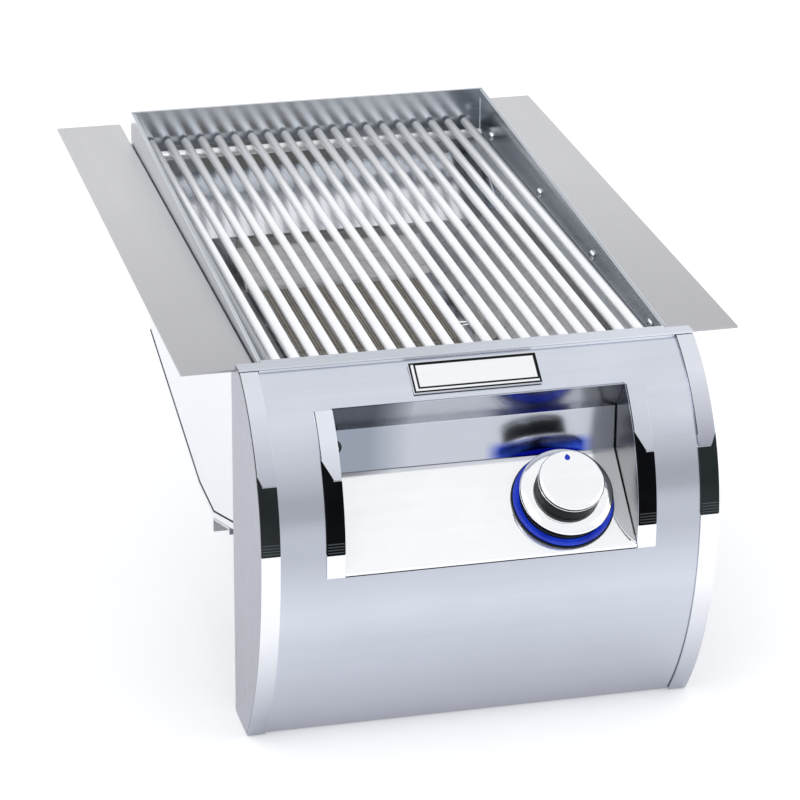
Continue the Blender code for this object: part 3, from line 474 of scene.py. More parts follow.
def rod_steel():
    """Ground round bar: fine rings of grinding."""
    make = Maker("rod_steel")
    rings = make.noise(make.place((60.0, 900.0, 60.0)))
    clouds = make.noise(make.place(), 22.0)
    tone = make.mixed(rings, clouds, 0.5)
    make.base(make.tint(make.spread(tone, 0.0, 1.0), (0.90, 0.90, 0.92), (0.98, 0.98, 0.99)))
    make.rough(tone, 0.12, 0.20)
    make.bump(rings, 0.04, 0.0001)
    make.set(Metallic=0.35)
    return make.material


def plate_steel():
    """Deflector sheet: mill finish with streaks down the slope and faint heat colour."""
    make = Maker("deflector_steel")
    streaks = make.noise(make.place((30.0, 260.0, 30.0)), 1.0, 4.0, 0.7)
    clouds = make.noise(make.place(), 26.0, 4.0)
    tone = make.mixed(streaks, clouds, 0.45)
    steel = make.tint(make.spread(tone, 0.0, 1.0), (0.40, 0.40, 0.41), (0.76, 0.76, 0.77))
    warm = make.noise(make.place(), 9.0, 2.0)
    make.base(make.over(make.spread(warm, 0.0, 0.25, 0.5, 0.75), steel, (0.46, 0.40, 0.32)))
    make.rough(tone, 0.22, 0.42)
    make.bump(streaks, 0.08, 0.0003)
    make.set(Metallic=1.0)
    return make.material


def ceramic():
    """Porous burner tile with rows of small flame holes, painted near-black for the shade inside them."""
    make = Maker("burner_ceramic")
    holes = make.node("ShaderNodeTexVoronoi")
    holes.inputs["Scale"].default_value = 1.0
    holes.inputs["Randomness"].default_value = 0.0
    make.link(make.place((420.0, 420.0, 0.001)), holes.inputs["Vector"])
    # Painted shade inside the flame holes
    hole_shade = make.spread(holes.outputs["Distance"], 1.0, 0.0, 0.22, 0.34)
    pores = make.noise(make.place(), 900.0, 3.0, 0.7)
    stain = make.noise(make.place(), 30.0, 4.0)
    tone = make.spread(make.mixed(pores, stain, 0.6), 0.0, 1.0)
    clay = make.tint(tone, (0.30, 0.27, 0.24), (0.52, 0.48, 0.42))
    make.base(make.over(hole_shade, clay, (0.03, 0.026, 0.022)))
    make.rough(pores, 0.75, 0.95)
    make.bump(make.mixed(holes.outputs["Distance"], pores, 0.25), 0.5, 0.0006)
    return make.material


def coated(name, dark, light, rough, depth=0.03, scale=260.0, specular=0.5):
    """Lacquer, glaze or moulded plastic with slight orange peel and dust."""
    make = Maker(name)
    peel = make.noise(make.place(), scale, 2.0)
    dust = make.noise(make.place(), 40.0, 4.0)
    make.base(make.tint(make.spread(dust, 0.0, 1.0), dark, light))
    make.rough(dust, *rough)
    make.bump(peel, depth, 0.0002)
    make.set(Specular_IOR_Level=specular)
    return make.material


def brass():
    """Machined brass with tool marks and a little tarnish."""
    make = Maker("brass")
    marks = make.noise(make.place((900, 60, 60)))
    tarnish = make.noise(make.place(), 45.0, 4.0)
    metal = make.tint(make.spread(marks, 0.0, 1.0), (0.66, 0.47, 0.21), (0.78, 0.58, 0.29))
    make.base(make.over(make.spread(tarnish, 0.0, 0.5, 0.5, 0.75), metal, (0.38, 0.25, 0.12)))
    make.rough(tarnish, 0.22, 0.42)
    make.bump(marks, 0.1, 0.0001)
    make.set(Metallic=1.0)
    return make.material


def lit_blue():
    """Blue light pipe, brighter in places."""
    make = Maker("blue_light")
    cloud = make.spread(make.noise(make.place(), 70.0), 0.0, 1.0)
    make.base(make.tint(cloud, (0.002, 0.006, 0.10), (0.004, 0.015, 0.18)))
    glow = make.tint(cloud, (0.004, 0.014, 0.26), (0.010, 0.036, 0.44))
    make.link(glow, make.shader.inputs["Emission Color"])
    make.rough(cloud, 0.18, 0.30)
    make.set(Emission_Strength=1.0, Specular_IOR_Level=0.3)
    return make.material


STEEL_X = brushed("stainless_across", (0.52, 0.53, 0.55), (0.64, 0.65, 0.67), "x")
STEEL_Y = brushed("stainless_along", (0.52, 0.53, 0.55), (0.64, 0.65, 0.67), "y")
STEEL_Z = brushed("stainless_upright", (0.50, 0.51, 0.53), (0.62, 0.63, 0.65), "z")
PAN = brushed("pan_steel", (0.74, 0.75, 0.78), (0.84, 0.85, 0.88), "x", (0.26, 0.40))
# Painted shade: the flanges turn darker towards the front
FLANGE = brushed("flange_steel", (0.55, 0.55, 0.565), (0.60, 0.60, 0.61), "y", (0.26, 0.40), 0.03,
                 [(FLANGE_PAINTED_SHADE, (0.43, 0.43, 0.445))])
# Painted light and shade: the walls are dark bluish inside, painted light on their outer faces, the right
# one less light
WALL = brushed("wall_steel", (0.40, 0.43, 0.47), (0.55, 0.58, 0.62), "y", (0.14, 0.26), 0.03,
               [(WALL_OUTSIDE_PAINTED_LIGHT, (0.78, 0.80, 0.835)), (WALL_RIGHT_PAINTED_SHADE, (0.63, 0.65, 0.69))])
# Painted light: the sloping reflector is painted much lighter, and below it the wall's plain colour comes
# back
REAR = brushed("rear_steel", (0.50, 0.53, 0.57), (0.60, 0.63, 0.67), "x", (0.15, 0.22), 0.01,
               [(REAR_SLOPE_PAINTED_LIGHT, (0.84, 0.86, 0.90)), (REAR_FOOT, (0.55, 0.58, 0.62))])
# Painted light: the ledges are painted lighter underneath, where they lie in shade
LEDGE = brushed("ledge_steel", (0.44, 0.46, 0.49), (0.60, 0.62, 0.65), "y", (0.16, 0.28), 0.03,
                [(LEDGE_UNDER_PAINTED_LIGHT, (0.87, 0.89, 0.92))], metal=0.5)
# Painted shade: the front panel turns darker towards its foot and in a band around its bulge
PANEL = brushed("panel_steel", (0.60, 0.63, 0.70), (0.66, 0.69, 0.765), "x", (0.17, 0.25), 0.012,
                [(PANEL_FOOT_PAINTED_SHADE, (0.42, 0.43, 0.49)), (PANEL_BAND_PAINTED_SHADE, (0.42, 0.44, 0.50))])
# Painted light: the rim over the front is painted lighter towards its right end
RIM = brushed("rim_steel", (0.49, 0.515, 0.57), (0.54, 0.565, 0.625), "x", (0.17, 0.25), 0.012,
              [(RIM_RIGHT_PAINTED_LIGHT, (0.64, 0.67, 0.74))])
SIDE = brushed("side_steel", (0.302, 0.311, 0.374), (0.338, 0.347, 0.410), "z", (0.22, 0.32), 0.02)
HOOD = hood_steel()
# Painted shade: the recess's side walls are steel painted nearly black
NICHE_PAINTED_SHADE = brushed("niche_steel_painted_shade", (0.080, 0.088, 0.095), (0.109, 0.116, 0.126), "y", (0.20, 0.30), 0.02)
# Painted shade: the upper trims turn darker downwards, the right one darker still
TRIM = polished("trim_steel", (0.72, 0.74, 0.80), (0.10, 0.18),
                [(TRIM_PAINTED_SHADE, (0.43, 0.445, 0.515))])
TRIM_RIGHT_PAINTED_SHADE = polished("trim_steel_right_painted_shade", (0.74, 0.76, 0.82), (0.10, 0.18),
                      [(TRIM_PAINTED_SHADE, (0.315, 0.325, 0.385))])
# Painted shade: the recess tongues turn darker downwards, and the right one is a darker copy
TONGUE = polished("tongue_steel", (0.78, 0.80, 0.86), (0.10, 0.18),
                  [(TONGUE_PAINTED_SHADE, (0.60, 0.62, 0.69))])
TONGUE_RIGHT_PAINTED_SHADE = polished("tongue_steel_right_painted_shade", (0.64, 0.66, 0.715), (0.10, 0.18),
                        [(TONGUE_PAINTED_SHADE, (0.49, 0.51, 0.57))])
# Painted shade: the lower polished strips turn darker towards the bottom
STRIP = polished("strip_steel", (0.89, 0.90, 0.93), (0.03, 0.09),
                 [(STRIP_PAINTED_SHADE, (0.42, 0.44, 0.50))])
MIRROR = polished("polished_steel", (0.91, 0.92, 0.94))
FACE = polished("face_mirror", (0.95, 0.955, 0.965), (0.04, 0.10), metal=0.8)
ROD = rod_steel()
PLATE = plate_steel()
TILE = ceramic()
BLACK = coated("black_gloss", (0.003, 0.006, 0.007), (0.008, 0.013, 0.015), (0.14, 0.26), specular=0.2)
INK = coated("black_lacquer", (0.001, 0.001, 0.002), (0.003, 0.004, 0.005), (0.40, 0.55), specular=0.03)
SATIN = coated("black_satin", (0.012, 0.017, 0.019), (0.022, 0.028, 0.031), (0.30, 0.45), specular=0.3)
RIB = coated("rib_grey", (0.030, 0.040, 0.045), (0.050, 0.062, 0.068), (0.30, 0.45), specular=0.3)
GRIP = coated("grip_black", (0.001, 0.002, 0.003), (0.005, 0.007, 0.009), (0.40, 0.55), 0.12, 700.0, 0.12)
WHITE = coated("porcelain", (0.70, 0.69, 0.65), (0.84, 0.83, 0.80), (0.20, 0.32))
BRASS = brass()
BLUE = lit_blue()


# Mesh helpers

def add_piece(name, solid, material, body, replaced=(), smooth=True):
    """An object made from a bmesh, riding on a body and standing for the solids it replaces."""
    mesh = bpy.data.meshes.new(name)
    solid.to_mesh(mesh)
    solid.free()
    mesh.materials.append(material)
    if smooth:
        mesh.shade_smooth()
        mesh.set_sharp_from_angle(angle=math.radians(SHARP_ANGLE))
    obj = bpy.data.objects.new(name, mesh)
    bpy.context.scene.collection.objects.link(obj)
    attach(obj, body)
    if replaced:
        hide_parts(*replaced)
    return obj


def bevelled(obj, width, angle=SHARP_ANGLE, segments=2):
    """Rounds a piece's edges."""
    edge = obj.modifiers.new("edge", "BEVEL")
    edge.width = width
    edge.segments = segments
    edge.limit_method = "ANGLE"
    edge.angle_limit = math.radians(angle)
    edge.harden_normals = True


def thickened(obj, thickness, even=True):
    """Gives a face its sheet's thickness, backwards."""
    skin = obj.modifiers.new("sheet", "SOLIDIFY")
    skin.thickness = thickness
    skin.offset = -1.0
    skin.use_even_offset = even
    return obj


def closed(solid):
    """The same solid with its faces pointing out."""
    bmesh.ops.recalc_face_normals(solid, faces=solid.faces)
    return solid


def loft(solid, rings, caps=True):
    """Faces between rings of points that have equal counts, with caps at the ends if asked."""
    rows = [[solid.verts.new(point) for point in ring] for ring in rings]
    for first, second in zip(rows, rows[1:]):
        for i in range(len(first)):
            j = (i + 1) % len(first)
            solid.faces.new((first[i], first[j], second[j], second[i]))
    if caps:
        solid.faces.new(list(reversed(rows[0])))
        solid.faces.new(rows[-1])


def circle(radius, sides):
    """Points of a circle about the origin."""
    turns = (2 * math.pi * i / sides for i in range(sides))
    return [(radius * math.cos(turn), radius * math.sin(turn)) for turn in turns]


def block(solid, size, matrix):
    """Adds a block of a size, carried by a matrix."""
    verts = bmesh.ops.create_cube(solid, size=1.0)["verts"]
    bmesh.ops.transform(solid, matrix=matrix @ Matrix.Diagonal((*size, 1)), verts=verts)


# Curved front

def front_point(z, inset):
    """Depth of the front's curve at a height."""
    radius = UPPER_RADIUS if z > BULGE_Z else LOWER_RADIUS
    return BULGE_Y + radius - math.sqrt((radius - inset) ** 2 - (z - BULGE_Z) ** 2)


def levels(top, bottom, *stops):
    """Heights from top to bottom in small steps, passing through the stops."""
    marks = [top] + [s for s in sorted(stops, reverse=True) if bottom < s < top] + [bottom]
    rows = [top]
    for high, low in zip(marks, marks[1:]):
        steps = max(1, math.ceil((high - low) / ROW_STEP))
        rows += [high - (high - low) * i / steps for i in range(1, steps + 1)]
    return rows


def patch(solid, rows, left, right, inset=0.0, columns=3):
    """Adds a curved face on the front between two side lines, each a function of the height."""
    grid = []
    for z in rows:
        y = front_point(z, inset)
        a, b = left(z), right(z)
        grid.append([solid.verts.new((a + (b - a) * i / columns, y, z)) for i in range(columns + 1)])
    for upper, lower in zip(grid, grid[1:]):
        for i in range(columns):
            face = solid.faces.new((upper[i], lower[i], lower[i + 1], upper[i + 1]))
            face.normal_update()
            if face.normal.y > 0:
                face.normal_flip()
    return solid


def constant(value):
    """A side line that stays at one place at every height."""
    return lambda z: value


def trim_piece(name, solid, material, replaced):
    """A thin curved sheet on the front."""
    obj = add_piece(name, solid, material, "station", replaced)
    bevelled(thickened(obj, STRIP_SHEET), TRIM_BEVEL, TRIM_EDGE_ANGLE)


def trim_line(name, solid, material):
    """A thin mark on the front's surface."""
    obj = add_piece(name, solid, material, "station")
    bevelled(thickened(obj, LINE_SHEET), LINE_BEVEL, TRIM_EDGE_ANGLE)


def trim_run(nodes, names, top, tongue, dark_bottom, bottom, looks, side=1):
    """Trim down one edge: a polished strip with a slanted end, a ribbed dark insert, a polished foot."""
    upper_node, dark_node, lower_node = nodes
    upper_name, dark_name, lower_name = names
    low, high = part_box(lower_node)
    rise, share = tongue
    slant_top = INSERT_TOP + rise
    start, end = (low.x, high.x) if side > 0 else (high.x, low.x)

    def slant(z):
        part = min(1.0, max(0.0, (slant_top - z) / rise))
        return start + share * (end - start) * part

    def tip(z):
        near = min(1.0, max(0.0, (z - INSERT_TOP) / TIP_HEIGHT))
        return end - side * TIP_ROUND * (1 - math.sqrt(1 - (1 - near) ** 2))

    def beside(z):
        return start + side * max(0.0, abs(slant(z) - start) - GAP)

    left, right = constant(start), constant(end)
    upper = patch(bmesh.new(), levels(top, INSERT_TOP + GAP, slant_top), slant, tip)
    trim_piece(upper_name, upper, looks[0], [upper_node])
    dark = patch(bmesh.new(), levels(slant_top - GAP, INSERT_TOP - GAP), left, beside)
    patch(dark, levels(INSERT_TOP - GAP, dark_bottom), left, right)
    trim_piece(dark_name, dark, looks[1], [dark_node])
    ribs = bmesh.new()
    inner = side * EDGE
    for i in range(RIB_COUNT):
        level = dark_bottom + RIB_PITCH * (i + 1)
        rows = (level, level - RIB_WIDTH)
        patch(ribs, rows, constant(start + inner), constant(end - inner), -RIB_PROUD)
    trim_line(f"{dark_name}_ribs", ribs, RIB)
    lower = patch(bmesh.new(), levels(dark_bottom - GAP, bottom), left, right)
    trim_piece(lower_name, lower, STRIP, [lower_node])
    rows = levels(top, slant_top)
    line = patch(bmesh.new(), rows, constant(low.x), constant(low.x + STRIP_LINE), -RIB_PROUD, 1)
    trim_line(f"{upper_name}_line", line, INK)


def make_trims():
    """Trim on both edges of the front and at both ends of the control opening."""
    for word, side, trim, tongue in (("left", 1, TRIM, TONGUE), ("right", -1, TRIM_RIGHT_PAINTED_SHADE, TONGUE_RIGHT_PAINTED_SHADE)):
        nodes = (f"strip_upper_{word}", f"strip_insert_{word}", f"strip_lower_{word}")
        names = (f"upper_trim_{word}", f"dark_trim_{word}", f"lower_trim_{word}")
        trim_run(nodes, names, FRONT_TOP, STRIP_TONGUE, INSERT_BOTTOM, FRONT_BOTTOM, (trim, BLACK), side)
        nodes = (f"cheek_upper_{word}", f"cheek_insert_{word}", f"cheek_lower_{word}")
        names = (f"tongue_trim_{word}", f"dark_cheek_{word}", f"foot_trim_{word}")
        trim_run(nodes, names, RECESS_TOP, CHEEK_TONGUE, CHEEK_BOTTOM, RECESS_BOTTOM, (tongue, INK))


def make_front():
    """Front skin with its top flange, bottom return and control opening, and a dark line below that."""
    low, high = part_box("front_panel")
    left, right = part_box("control_face")
    columns = [low.x, left.x - GAP, 0.0, right.x + GAP, high.x]
    rows = levels(FRONT_TOP, FRONT_BOTTOM + GAP, RECESS_TOP, RECESS_BOTTOM)
    path = [(high.y, FRONT_TOP)] + [(front_point(z, PANEL_INSET), z) for z in rows]
    path.append((path[-1][0] + RETURN_LENGTH, path[-1][1]))
    solid = bmesh.new()
    grid = [[solid.verts.new((x, y, z)) for x in columns] for y, z in path]
    for upper, lower in zip(grid[1:], grid[2:]):
        for i in range(len(columns) - 1):
            middle = (upper[0].co.z + lower[0].co.z) / 2
            if i in (1, 2) and RECESS_BOTTOM < middle < RECESS_TOP:
                continue
            solid.faces.new((upper[i], lower[i], lower[i + 1], upper[i + 1]))
    for i in range(len(columns) - 1):
        solid.faces.new((grid[0][i], grid[1][i], grid[1][i + 1], grid[0][i + 1]))
    skin = add_piece("front_skin", solid, PANEL, "station", ["front_panel"])
    bevelled(thickened(skin, PANEL_SHEET, False), SKIN_BEVEL, SKIN_EDGE_ANGLE)
    rows = (FACE_SEAM_TOP, FACE_SEAM_BOTTOM)
    line = patch(bmesh.new(), rows, constant(left.x), constant(right.x), PANEL_INSET - RIB_PROUD)
    trim_line("face_seam", line, INK)


def make_hem():
    """Folded edge of the lip over the front."""
    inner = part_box("strip_upper_right")[0].x - GAP
    low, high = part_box("front_wall")
    hem = bmesh.new()
    seat = Matrix.Translation((0, low.y + HEM_SHEET / 2, LIP_LEVEL - HEM_HEIGHT / 2))
    block(hem, (2 * inner, HEM_SHEET, HEM_HEIGHT), seat)
    bevelled(add_piece("lip_hem", closed(hem), RIM, "station"), HEM_BEVEL)


# Turned pieces

def turned_piece(name, profile, place, material, body, replaced=(), steps=96, ring=False):
    """A turned piece about an axis, from radius and height points; a ring's profile closes on itself."""
    solid = bmesh.new()
    verts = [solid.verts.new((radius, 0.0, height)) for radius, height in profile]
    pairs = list(zip(verts, verts[1:]))
    if ring:
        pairs.append((verts[-1], verts[0]))
    edges = [solid.edges.new(pair) for pair in pairs]
    bmesh.ops.spin(solid, geom=verts + edges, cent=(0, 0, 0), axis=(0, 0, 1), dvec=(0, 0, 0),
                   angle=2 * math.pi, steps=steps, use_merge=True, use_duplicate=False)
    bmesh.ops.remove_doubles(solid, verts=solid.verts, dist=MERGE)
    bmesh.ops.transform(solid, matrix=place, verts=solid.verts)
    add_piece(name, closed(solid), material, body, replaced)


def rounded(points, radius, steps=3, ring=False):
    """Rounds the corners of a turned profile."""
    out = []
    count = len(points)
    for i, here in enumerate(points):
        if not ring and i in (0, count - 1):
            out.append(here)
            continue
        corner, before, after = Vector(here), Vector(points[i - 1]), Vector(points[(i + 1) % count])
        size = min(radius, (before - corner).length / ROUND_LIMIT, (after - corner).length / ROUND_LIMIT)
        start = corner + (before - corner).normalized() * size
        end = corner + (after - corner).normalized() * size
        for t in (k / steps for k in range(steps + 1)):
            out.append(tuple(start * (1 - t) ** 2 + corner * 2 * t * (1 - t) + end * t ** 2))
    return out


def make_knob():
    """Dark bezel, lit ring, polished skirt, dark grip, polished cap with its line and pointer."""
    step = BEZEL_RAISED_RADIUS
    bezel = [(BEZEL_BORE, GAP), (BEZEL_RADIUS, GAP), (BEZEL_RADIUS, BEZEL_BASE), (step, BEZEL_BASE),
             (step, BEZEL_TOP - EDGE), (step - EDGE, BEZEL_TOP), (BEZEL_BORE, BEZEL_TOP)]
    turned_piece("bezel_fine", rounded(bezel, GAP, ring=True), KNOB_FRAME, BLACK, "station",
                 ["knob_bezel"], ring=True)
    low, inner = BEZEL_BASE + GAP, step + GAP
    led = [(inner, low), (LED_RADIUS, low), (LED_RADIUS, LED_TOP - EDGE), (LED_RADIUS - EDGE, LED_TOP),
           (inner, LED_TOP)]
    turned_piece("light_ring_fine", rounded(led, EDGE, ring=True), KNOB_FRAME, BLUE, "station",
                 ["led_ring"], ring=True)
    skirt = [(SKIRT_BORE, SKIRT_BOTTOM), (SKIRT_RADIUS - SKIRT_LIP, SKIRT_BOTTOM),
             (SKIRT_RADIUS, SKIRT_BOTTOM + SKIRT_LIP), (SKIRT_RADIUS - EDGE, SKIRT_BOTTOM + SKIRT_WAIST),
             (SKIRT_RADIUS - SKIRT_SLOPE, SKIRT_TOP - EDGE), (GRIP_RADIUS + SKIRT_LIP, SKIRT_TOP),
             (SKIRT_BORE, SKIRT_TOP)]
    turned_piece("skirt_fine", rounded(skirt, SKIRT_ROUND, 5, ring=True), KNOB_FRAME, MIRROR, "knob",
                 ["knob_skirt"], ring=True)
    seat, hub = SKIRT_TOP + GAP, SKIRT_BORE - GAP
    grip = [(0.0, GRIP_TOP), (GRIP_RADIUS - EDGE, GRIP_TOP), (GRIP_RADIUS, GRIP_TOP - EDGE),
            (GRIP_RADIUS, seat + GRIP_FLARE), (GRIP_RADIUS + GAP, seat), (hub, seat), (hub, SKIRT_BOTTOM),
            (STEM_BORE, SKIRT_BOTTOM), (STEM_BORE, STEM_SEAT), (0.0, STEM_SEAT)]
    turned_piece("grip_fine", rounded(grip, GRIP_ROUND), KNOB_FRAME, GRIP, "knob",
                 ["knob_grip"])
    base = GRIP_TOP + GAP
    groove = base + CAP_GROOVE_LOW
    groove_top = groove + CAP_GROOVE_HEIGHT
    neck = CAP_RADIUS - CAP_GROOVE_DEPTH
    cap = [(0.0, base), (neck, base), (CAP_RADIUS, base + EDGE), (CAP_RADIUS, groove), (neck, groove + GAP),
           (neck, groove_top), (CAP_RADIUS - CAP_RIM_INSET, groove + CAP_RIM),
           (neck, CAP_TOP - CAP_GROOVE_DEPTH), (CAP_RADIUS - CAP_EASE, CAP_TOP - CAP_CROWN), (0.0, CAP_TOP)]
    turned_piece("cap_fine", rounded(cap, GAP), KNOB_FRAME, MIRROR, "knob", ["knob_cap"])
    outer = CAP_RADIUS - GAP / 2
    line = [(neck, groove + GAP), (outer, groove + GAP), (outer, groove_top), (neck, groove_top)]
    turned_piece("cap_line", line, KNOB_FRAME, BLACK, "knob", ring=True)
    drop = [(x, y * (1.0 + DROP_POINT * (y > 0) * (y / DROP_RADIUS) ** 5))
            for x, y in circle(DROP_RADIUS, DROP_SIDES)]
    solid = bmesh.new()
    loft(solid, [[(x * s, DROP_PLACE + y * s, CAP_TOP + h) for x, y in drop] for s, h in DROP_LAYERS])
    bmesh.ops.transform(solid, matrix=KNOB_FRAME, verts=solid.verts)
    add_piece("pointer_drop", closed(solid), BLUE, "knob", ["knob_dot"])


def make_switch():
    """Push switch of the knob light."""
    housing = [(0.0, -SWITCH_DEPTH), (SWITCH_BARREL, -SWITCH_DEPTH), (SWITCH_BARREL, GAP), (SWITCH_RIM, GAP),
               *SWITCH_LIP, (SWITCH_BORE, -SWITCH_SEAT), (0.0, -SWITCH_SEAT)]
    turned_piece("switch_bezel", rounded(housing, SWITCH_ROUND), SWITCH_FRAME, SATIN, "station",
                 ["switch_housing"], SWITCH_STEPS)
    foot = GAP + SWITCH_TRAVEL - SWITCH_SEAT
    button = [(0.0, foot), (SWITCH_BUTTON, foot), *SWITCH_CROWN]
    turned_piece("switch_top", rounded(button, GAP), SWITCH_FRAME, MIRROR, "light_switch",
                 ["switch_button"], SWITCH_STEPS)


# Grid

def bar(solid, axis, start, length, radius):
    """Adds a round bar along x or y, with eased ends."""
    ease = 0.3 * EDGE
    stops = ((0.0, EDGE), (ease, ease), (EDGE, 0.0),
             (length - EDGE, 0.0), (length - ease, ease), (length, EDGE))
    rings = []
    for along, less in stops:
        section = circle(radius - less, BAR_SIDES)
        if axis == "x":
            rings.append([(start[0] + along, start[1] + a, start[2] + b) for a, b in section])
        else:
            rings.append([(start[0] + a, start[1] + along, start[2] + b) for a, b in section])
    loft(solid, rings)


def make_grid():
    """Rods, cross bars and a small weld at each crossing."""
    low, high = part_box("cooking_grid")
    rod_z = high.z - ROD_RADIUS
    cross_z = low.z + CROSS_RADIUS
    places = [-(ROD_COUNT - 1) / 2 * ROD_PITCH + i * ROD_PITCH for i in range(ROD_COUNT)]
    crossings = (low.y + CROSS_FRONT_INSET, high.y - CROSS_REAR_INSET)
    solid = bmesh.new()
    for x in places:
        bar(solid, "y", (x, low.y, rod_z), high.y - low.y, ROD_RADIUS)
    for y in crossings:
        bar(solid, "x", (low.x, y, cross_z), high.x - low.x, CROSS_RADIUS)
    add_piece("grid_rods", closed(solid), ROD, "grid", ["cooking_grid"])
    welds = bmesh.new()
    level = (rod_z - ROD_RADIUS + cross_z + CROSS_RADIUS) / 2
    for y in crossings:
        for i, x in enumerate(places):
            for side in (-1, 1):
                bead = bmesh.ops.create_icosphere(welds, subdivisions=2, radius=WELD_RADIUS)["verts"]
                stretch = WELD_SHAPE[0] + WELD_VARIETY * math.sin(i * 2.4 + side + y * 50)
                seat = Matrix.Translation((x, y + side * WELD_OFFSET, level - WELD_DROP))
                shape = Matrix.Diagonal((stretch, *WELD_SHAPE[1:], 1))
                bmesh.ops.transform(welds, matrix=seat @ shape, verts=bead)
    add_piece("grid_welds", closed(welds), ROD, "grid")


# Small fasteners, marks and folds

def make_screws():
    """Cross-slot screws through the box walls into the flanges' legs, and their nuts."""
    for word, side in (("left", -1), ("right", 1)):
        inward = Matrix.Rotation(-side * math.pi / 2, 4, "Y")
        outward = Matrix.Rotation(side * math.pi / 2, 4, "Y")
        for i in range(SCREW_COUNT):
            y = SCREW_FIRST + SCREW_PITCH * i
            seat = Matrix.Translation((side * SCREW_SEAT, y, SCREW_LEVEL)) @ inward
            turned_piece(f"screw_{word}_{i + 1}", SCREW_PROFILE, seat, MIRROR, "station",
                         steps=SMALL_STEPS)
            cross = bmesh.new()
            for turn in (SCREW_TURN + i, SCREW_TURN + i + math.pi / 2):
                slot = Matrix.Translation((0, 0, SLOT_LEVEL)) @ Matrix.Rotation(turn, 4, "Z")
                block(cross, SLOT_SIZE, seat @ slot)
            name = f"screw_slot_{word}_{i + 1}"
            add_piece(name, closed(cross), BLACK, "station", smooth=False)
            nut = bmesh.new()
            outline = circle(NUT_RADIUS, 6)
            loft(nut, [[(x, z, height) for x, z in outline] for height in (0.0, NUT_HEIGHT)])
            seat = Matrix.Translation((side * NUT_SEAT, y, SCREW_LEVEL)) @ outward
            bmesh.ops.transform(nut, matrix=seat, verts=nut.verts)
            name = f"screw_nut_{word}_{i + 1}"
            bevelled(add_piece(name, closed(nut), STEEL_X, "station", smooth=False), NUT_BEVEL)


def make_badge_border():
    """A dark line at the bare badge plate's rim for its dark edge and painted shadow, and an inlaid line
    inside it.
    """
    angle = math.asin((BADGE_CENTRE - BULGE_Z) / (UPPER_RADIUS - PANEL_INSET))
    place = (0, front_point(BADGE_CENTRE, PANEL_INSET), BADGE_CENTRE)
    seat = Matrix.Translation(place) @ Matrix.Rotation(-angle, 4, "X")
    face = -GAP - BADGE_SHEET
    for number, (left, right, bottom, top) in enumerate(BADGE_LINES, 1):
        outer = [(left, bottom), (right, bottom), (right, top), (left, top)]
        less = BADGE_LINE_WIDTH
        shrink = ((less, less), (-less, less), (-less, -less), (less, -less))
        inner = [(x + dx, z + dz) for (x, z), (dx, dz) in zip(outer, shrink)]
        top_face, foot = face - RIB_PROUD, face + GAP
        corners = ((outer, top_face), (inner, top_face), (inner, foot), (outer, foot))
        rings = [[(x, y, z) for x, z in line] for line, y in corners]
        solid = bmesh.new()
        loft(solid, rings + [rings[0]], caps=False)
        bmesh.ops.remove_doubles(solid, verts=solid.verts, dist=MERGE)
        bmesh.ops.transform(solid, matrix=seat, verts=solid.verts)
        add_piece(f"badge_line_{number}", closed(solid), BLACK, "station", smooth=False)


def seam(name, x, path, width):
    """A dark line of a width on an upright sheet at x, along a path in side view."""
    solid = bmesh.new()
    points = [Vector(point) for point in path]
    for start, end in zip(points, points[1:]):
        run = end - start
        middle = (start + end) / 2
        turn = Matrix.Rotation(math.atan2(run.y, run.x), 4, "X")
        block(solid, (SEAM_SHEET, run.length, width), Matrix.Translation((x, middle.x, middle.y)) @ turn)
    add_piece(name, closed(solid), INK, "station", smooth=False)


def make_seams():
    """Dark lines above the side walls' folded lower edges and in the recess's corners."""
    deep = SEAM_RISE - HOUSING_DEEP_DEPTH
    outline = [(HOUSING_BACK, SEAM_RISE - HOUSING_BACK_DEPTH), (HOUSING_DEEP_TO, deep),
               (HOUSING_DEEP_FROM, deep), (0.0, SEAM_RISE - HOUSING_FRONT_DEPTH)]
    inside = SEAM_INSET
    corner = [(RECESS_BACK - inside, RECESS_FOLD), (RECESS_BACK - inside, FACE_BACK + inside),
              (FACE_FRONT_Y + SEAM_FOOT, FACE_FRONT + 2 * inside)]
    for word, side in (("left", -1), ("right", 1)):
        seam(f"housing_seam_{word}", side * (WALL_OUT + SEAM_SHEET / 4), outline, HOUSING_SEAM)
        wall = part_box(f"recess_side_{word}")[0 if side > 0 else 1].x
        seam(f"recess_seam_{word}", wall - side * SEAM_SHEET, corner, RECESS_SEAM)


def make_rivets():
    """Rivets of the brackets behind the front."""
    for word, side in (("left", -1), ("right", 1)):
        low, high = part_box(f"front_bracket_{word}")
        outward = Matrix.Rotation(side * math.pi / 2, 4, "Y")
        for i, z in enumerate((high.z - RIVET_INSET, low.z + RIVET_INSET), 1):
            seat = Matrix.Translation((side * RIVET_SEAT, RIVET_Y, z)) @ outward
            turned_piece(f"rivet_{word}_{i}", RIVET_PROFILE, seat, STEEL_X, "station",
                         steps=SMALL_STEPS)


def make_corners():
    """Upright folds that close the corners between the side and rear deflectors."""
    low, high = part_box("deflector_rear")
    outline = [(low.y, low.z + GAP), (high.y, low.z + GAP), (high.y, high.z - CORNER_LIP)]
    for word, side in (("left", -1), ("right", 1)):
        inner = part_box(f"deflector_{word}")[0 if side > 0 else 1].x
        middle = (inner + side * high.x) / 2
        solid = bmesh.new()
        loft(solid, [[(middle + half, y, z) for y, z in outline] for half in (-GAP / 2, GAP / 2)])
        add_piece(f"corner_fold_{word}", closed(solid), PLATE, "station", smooth=False)


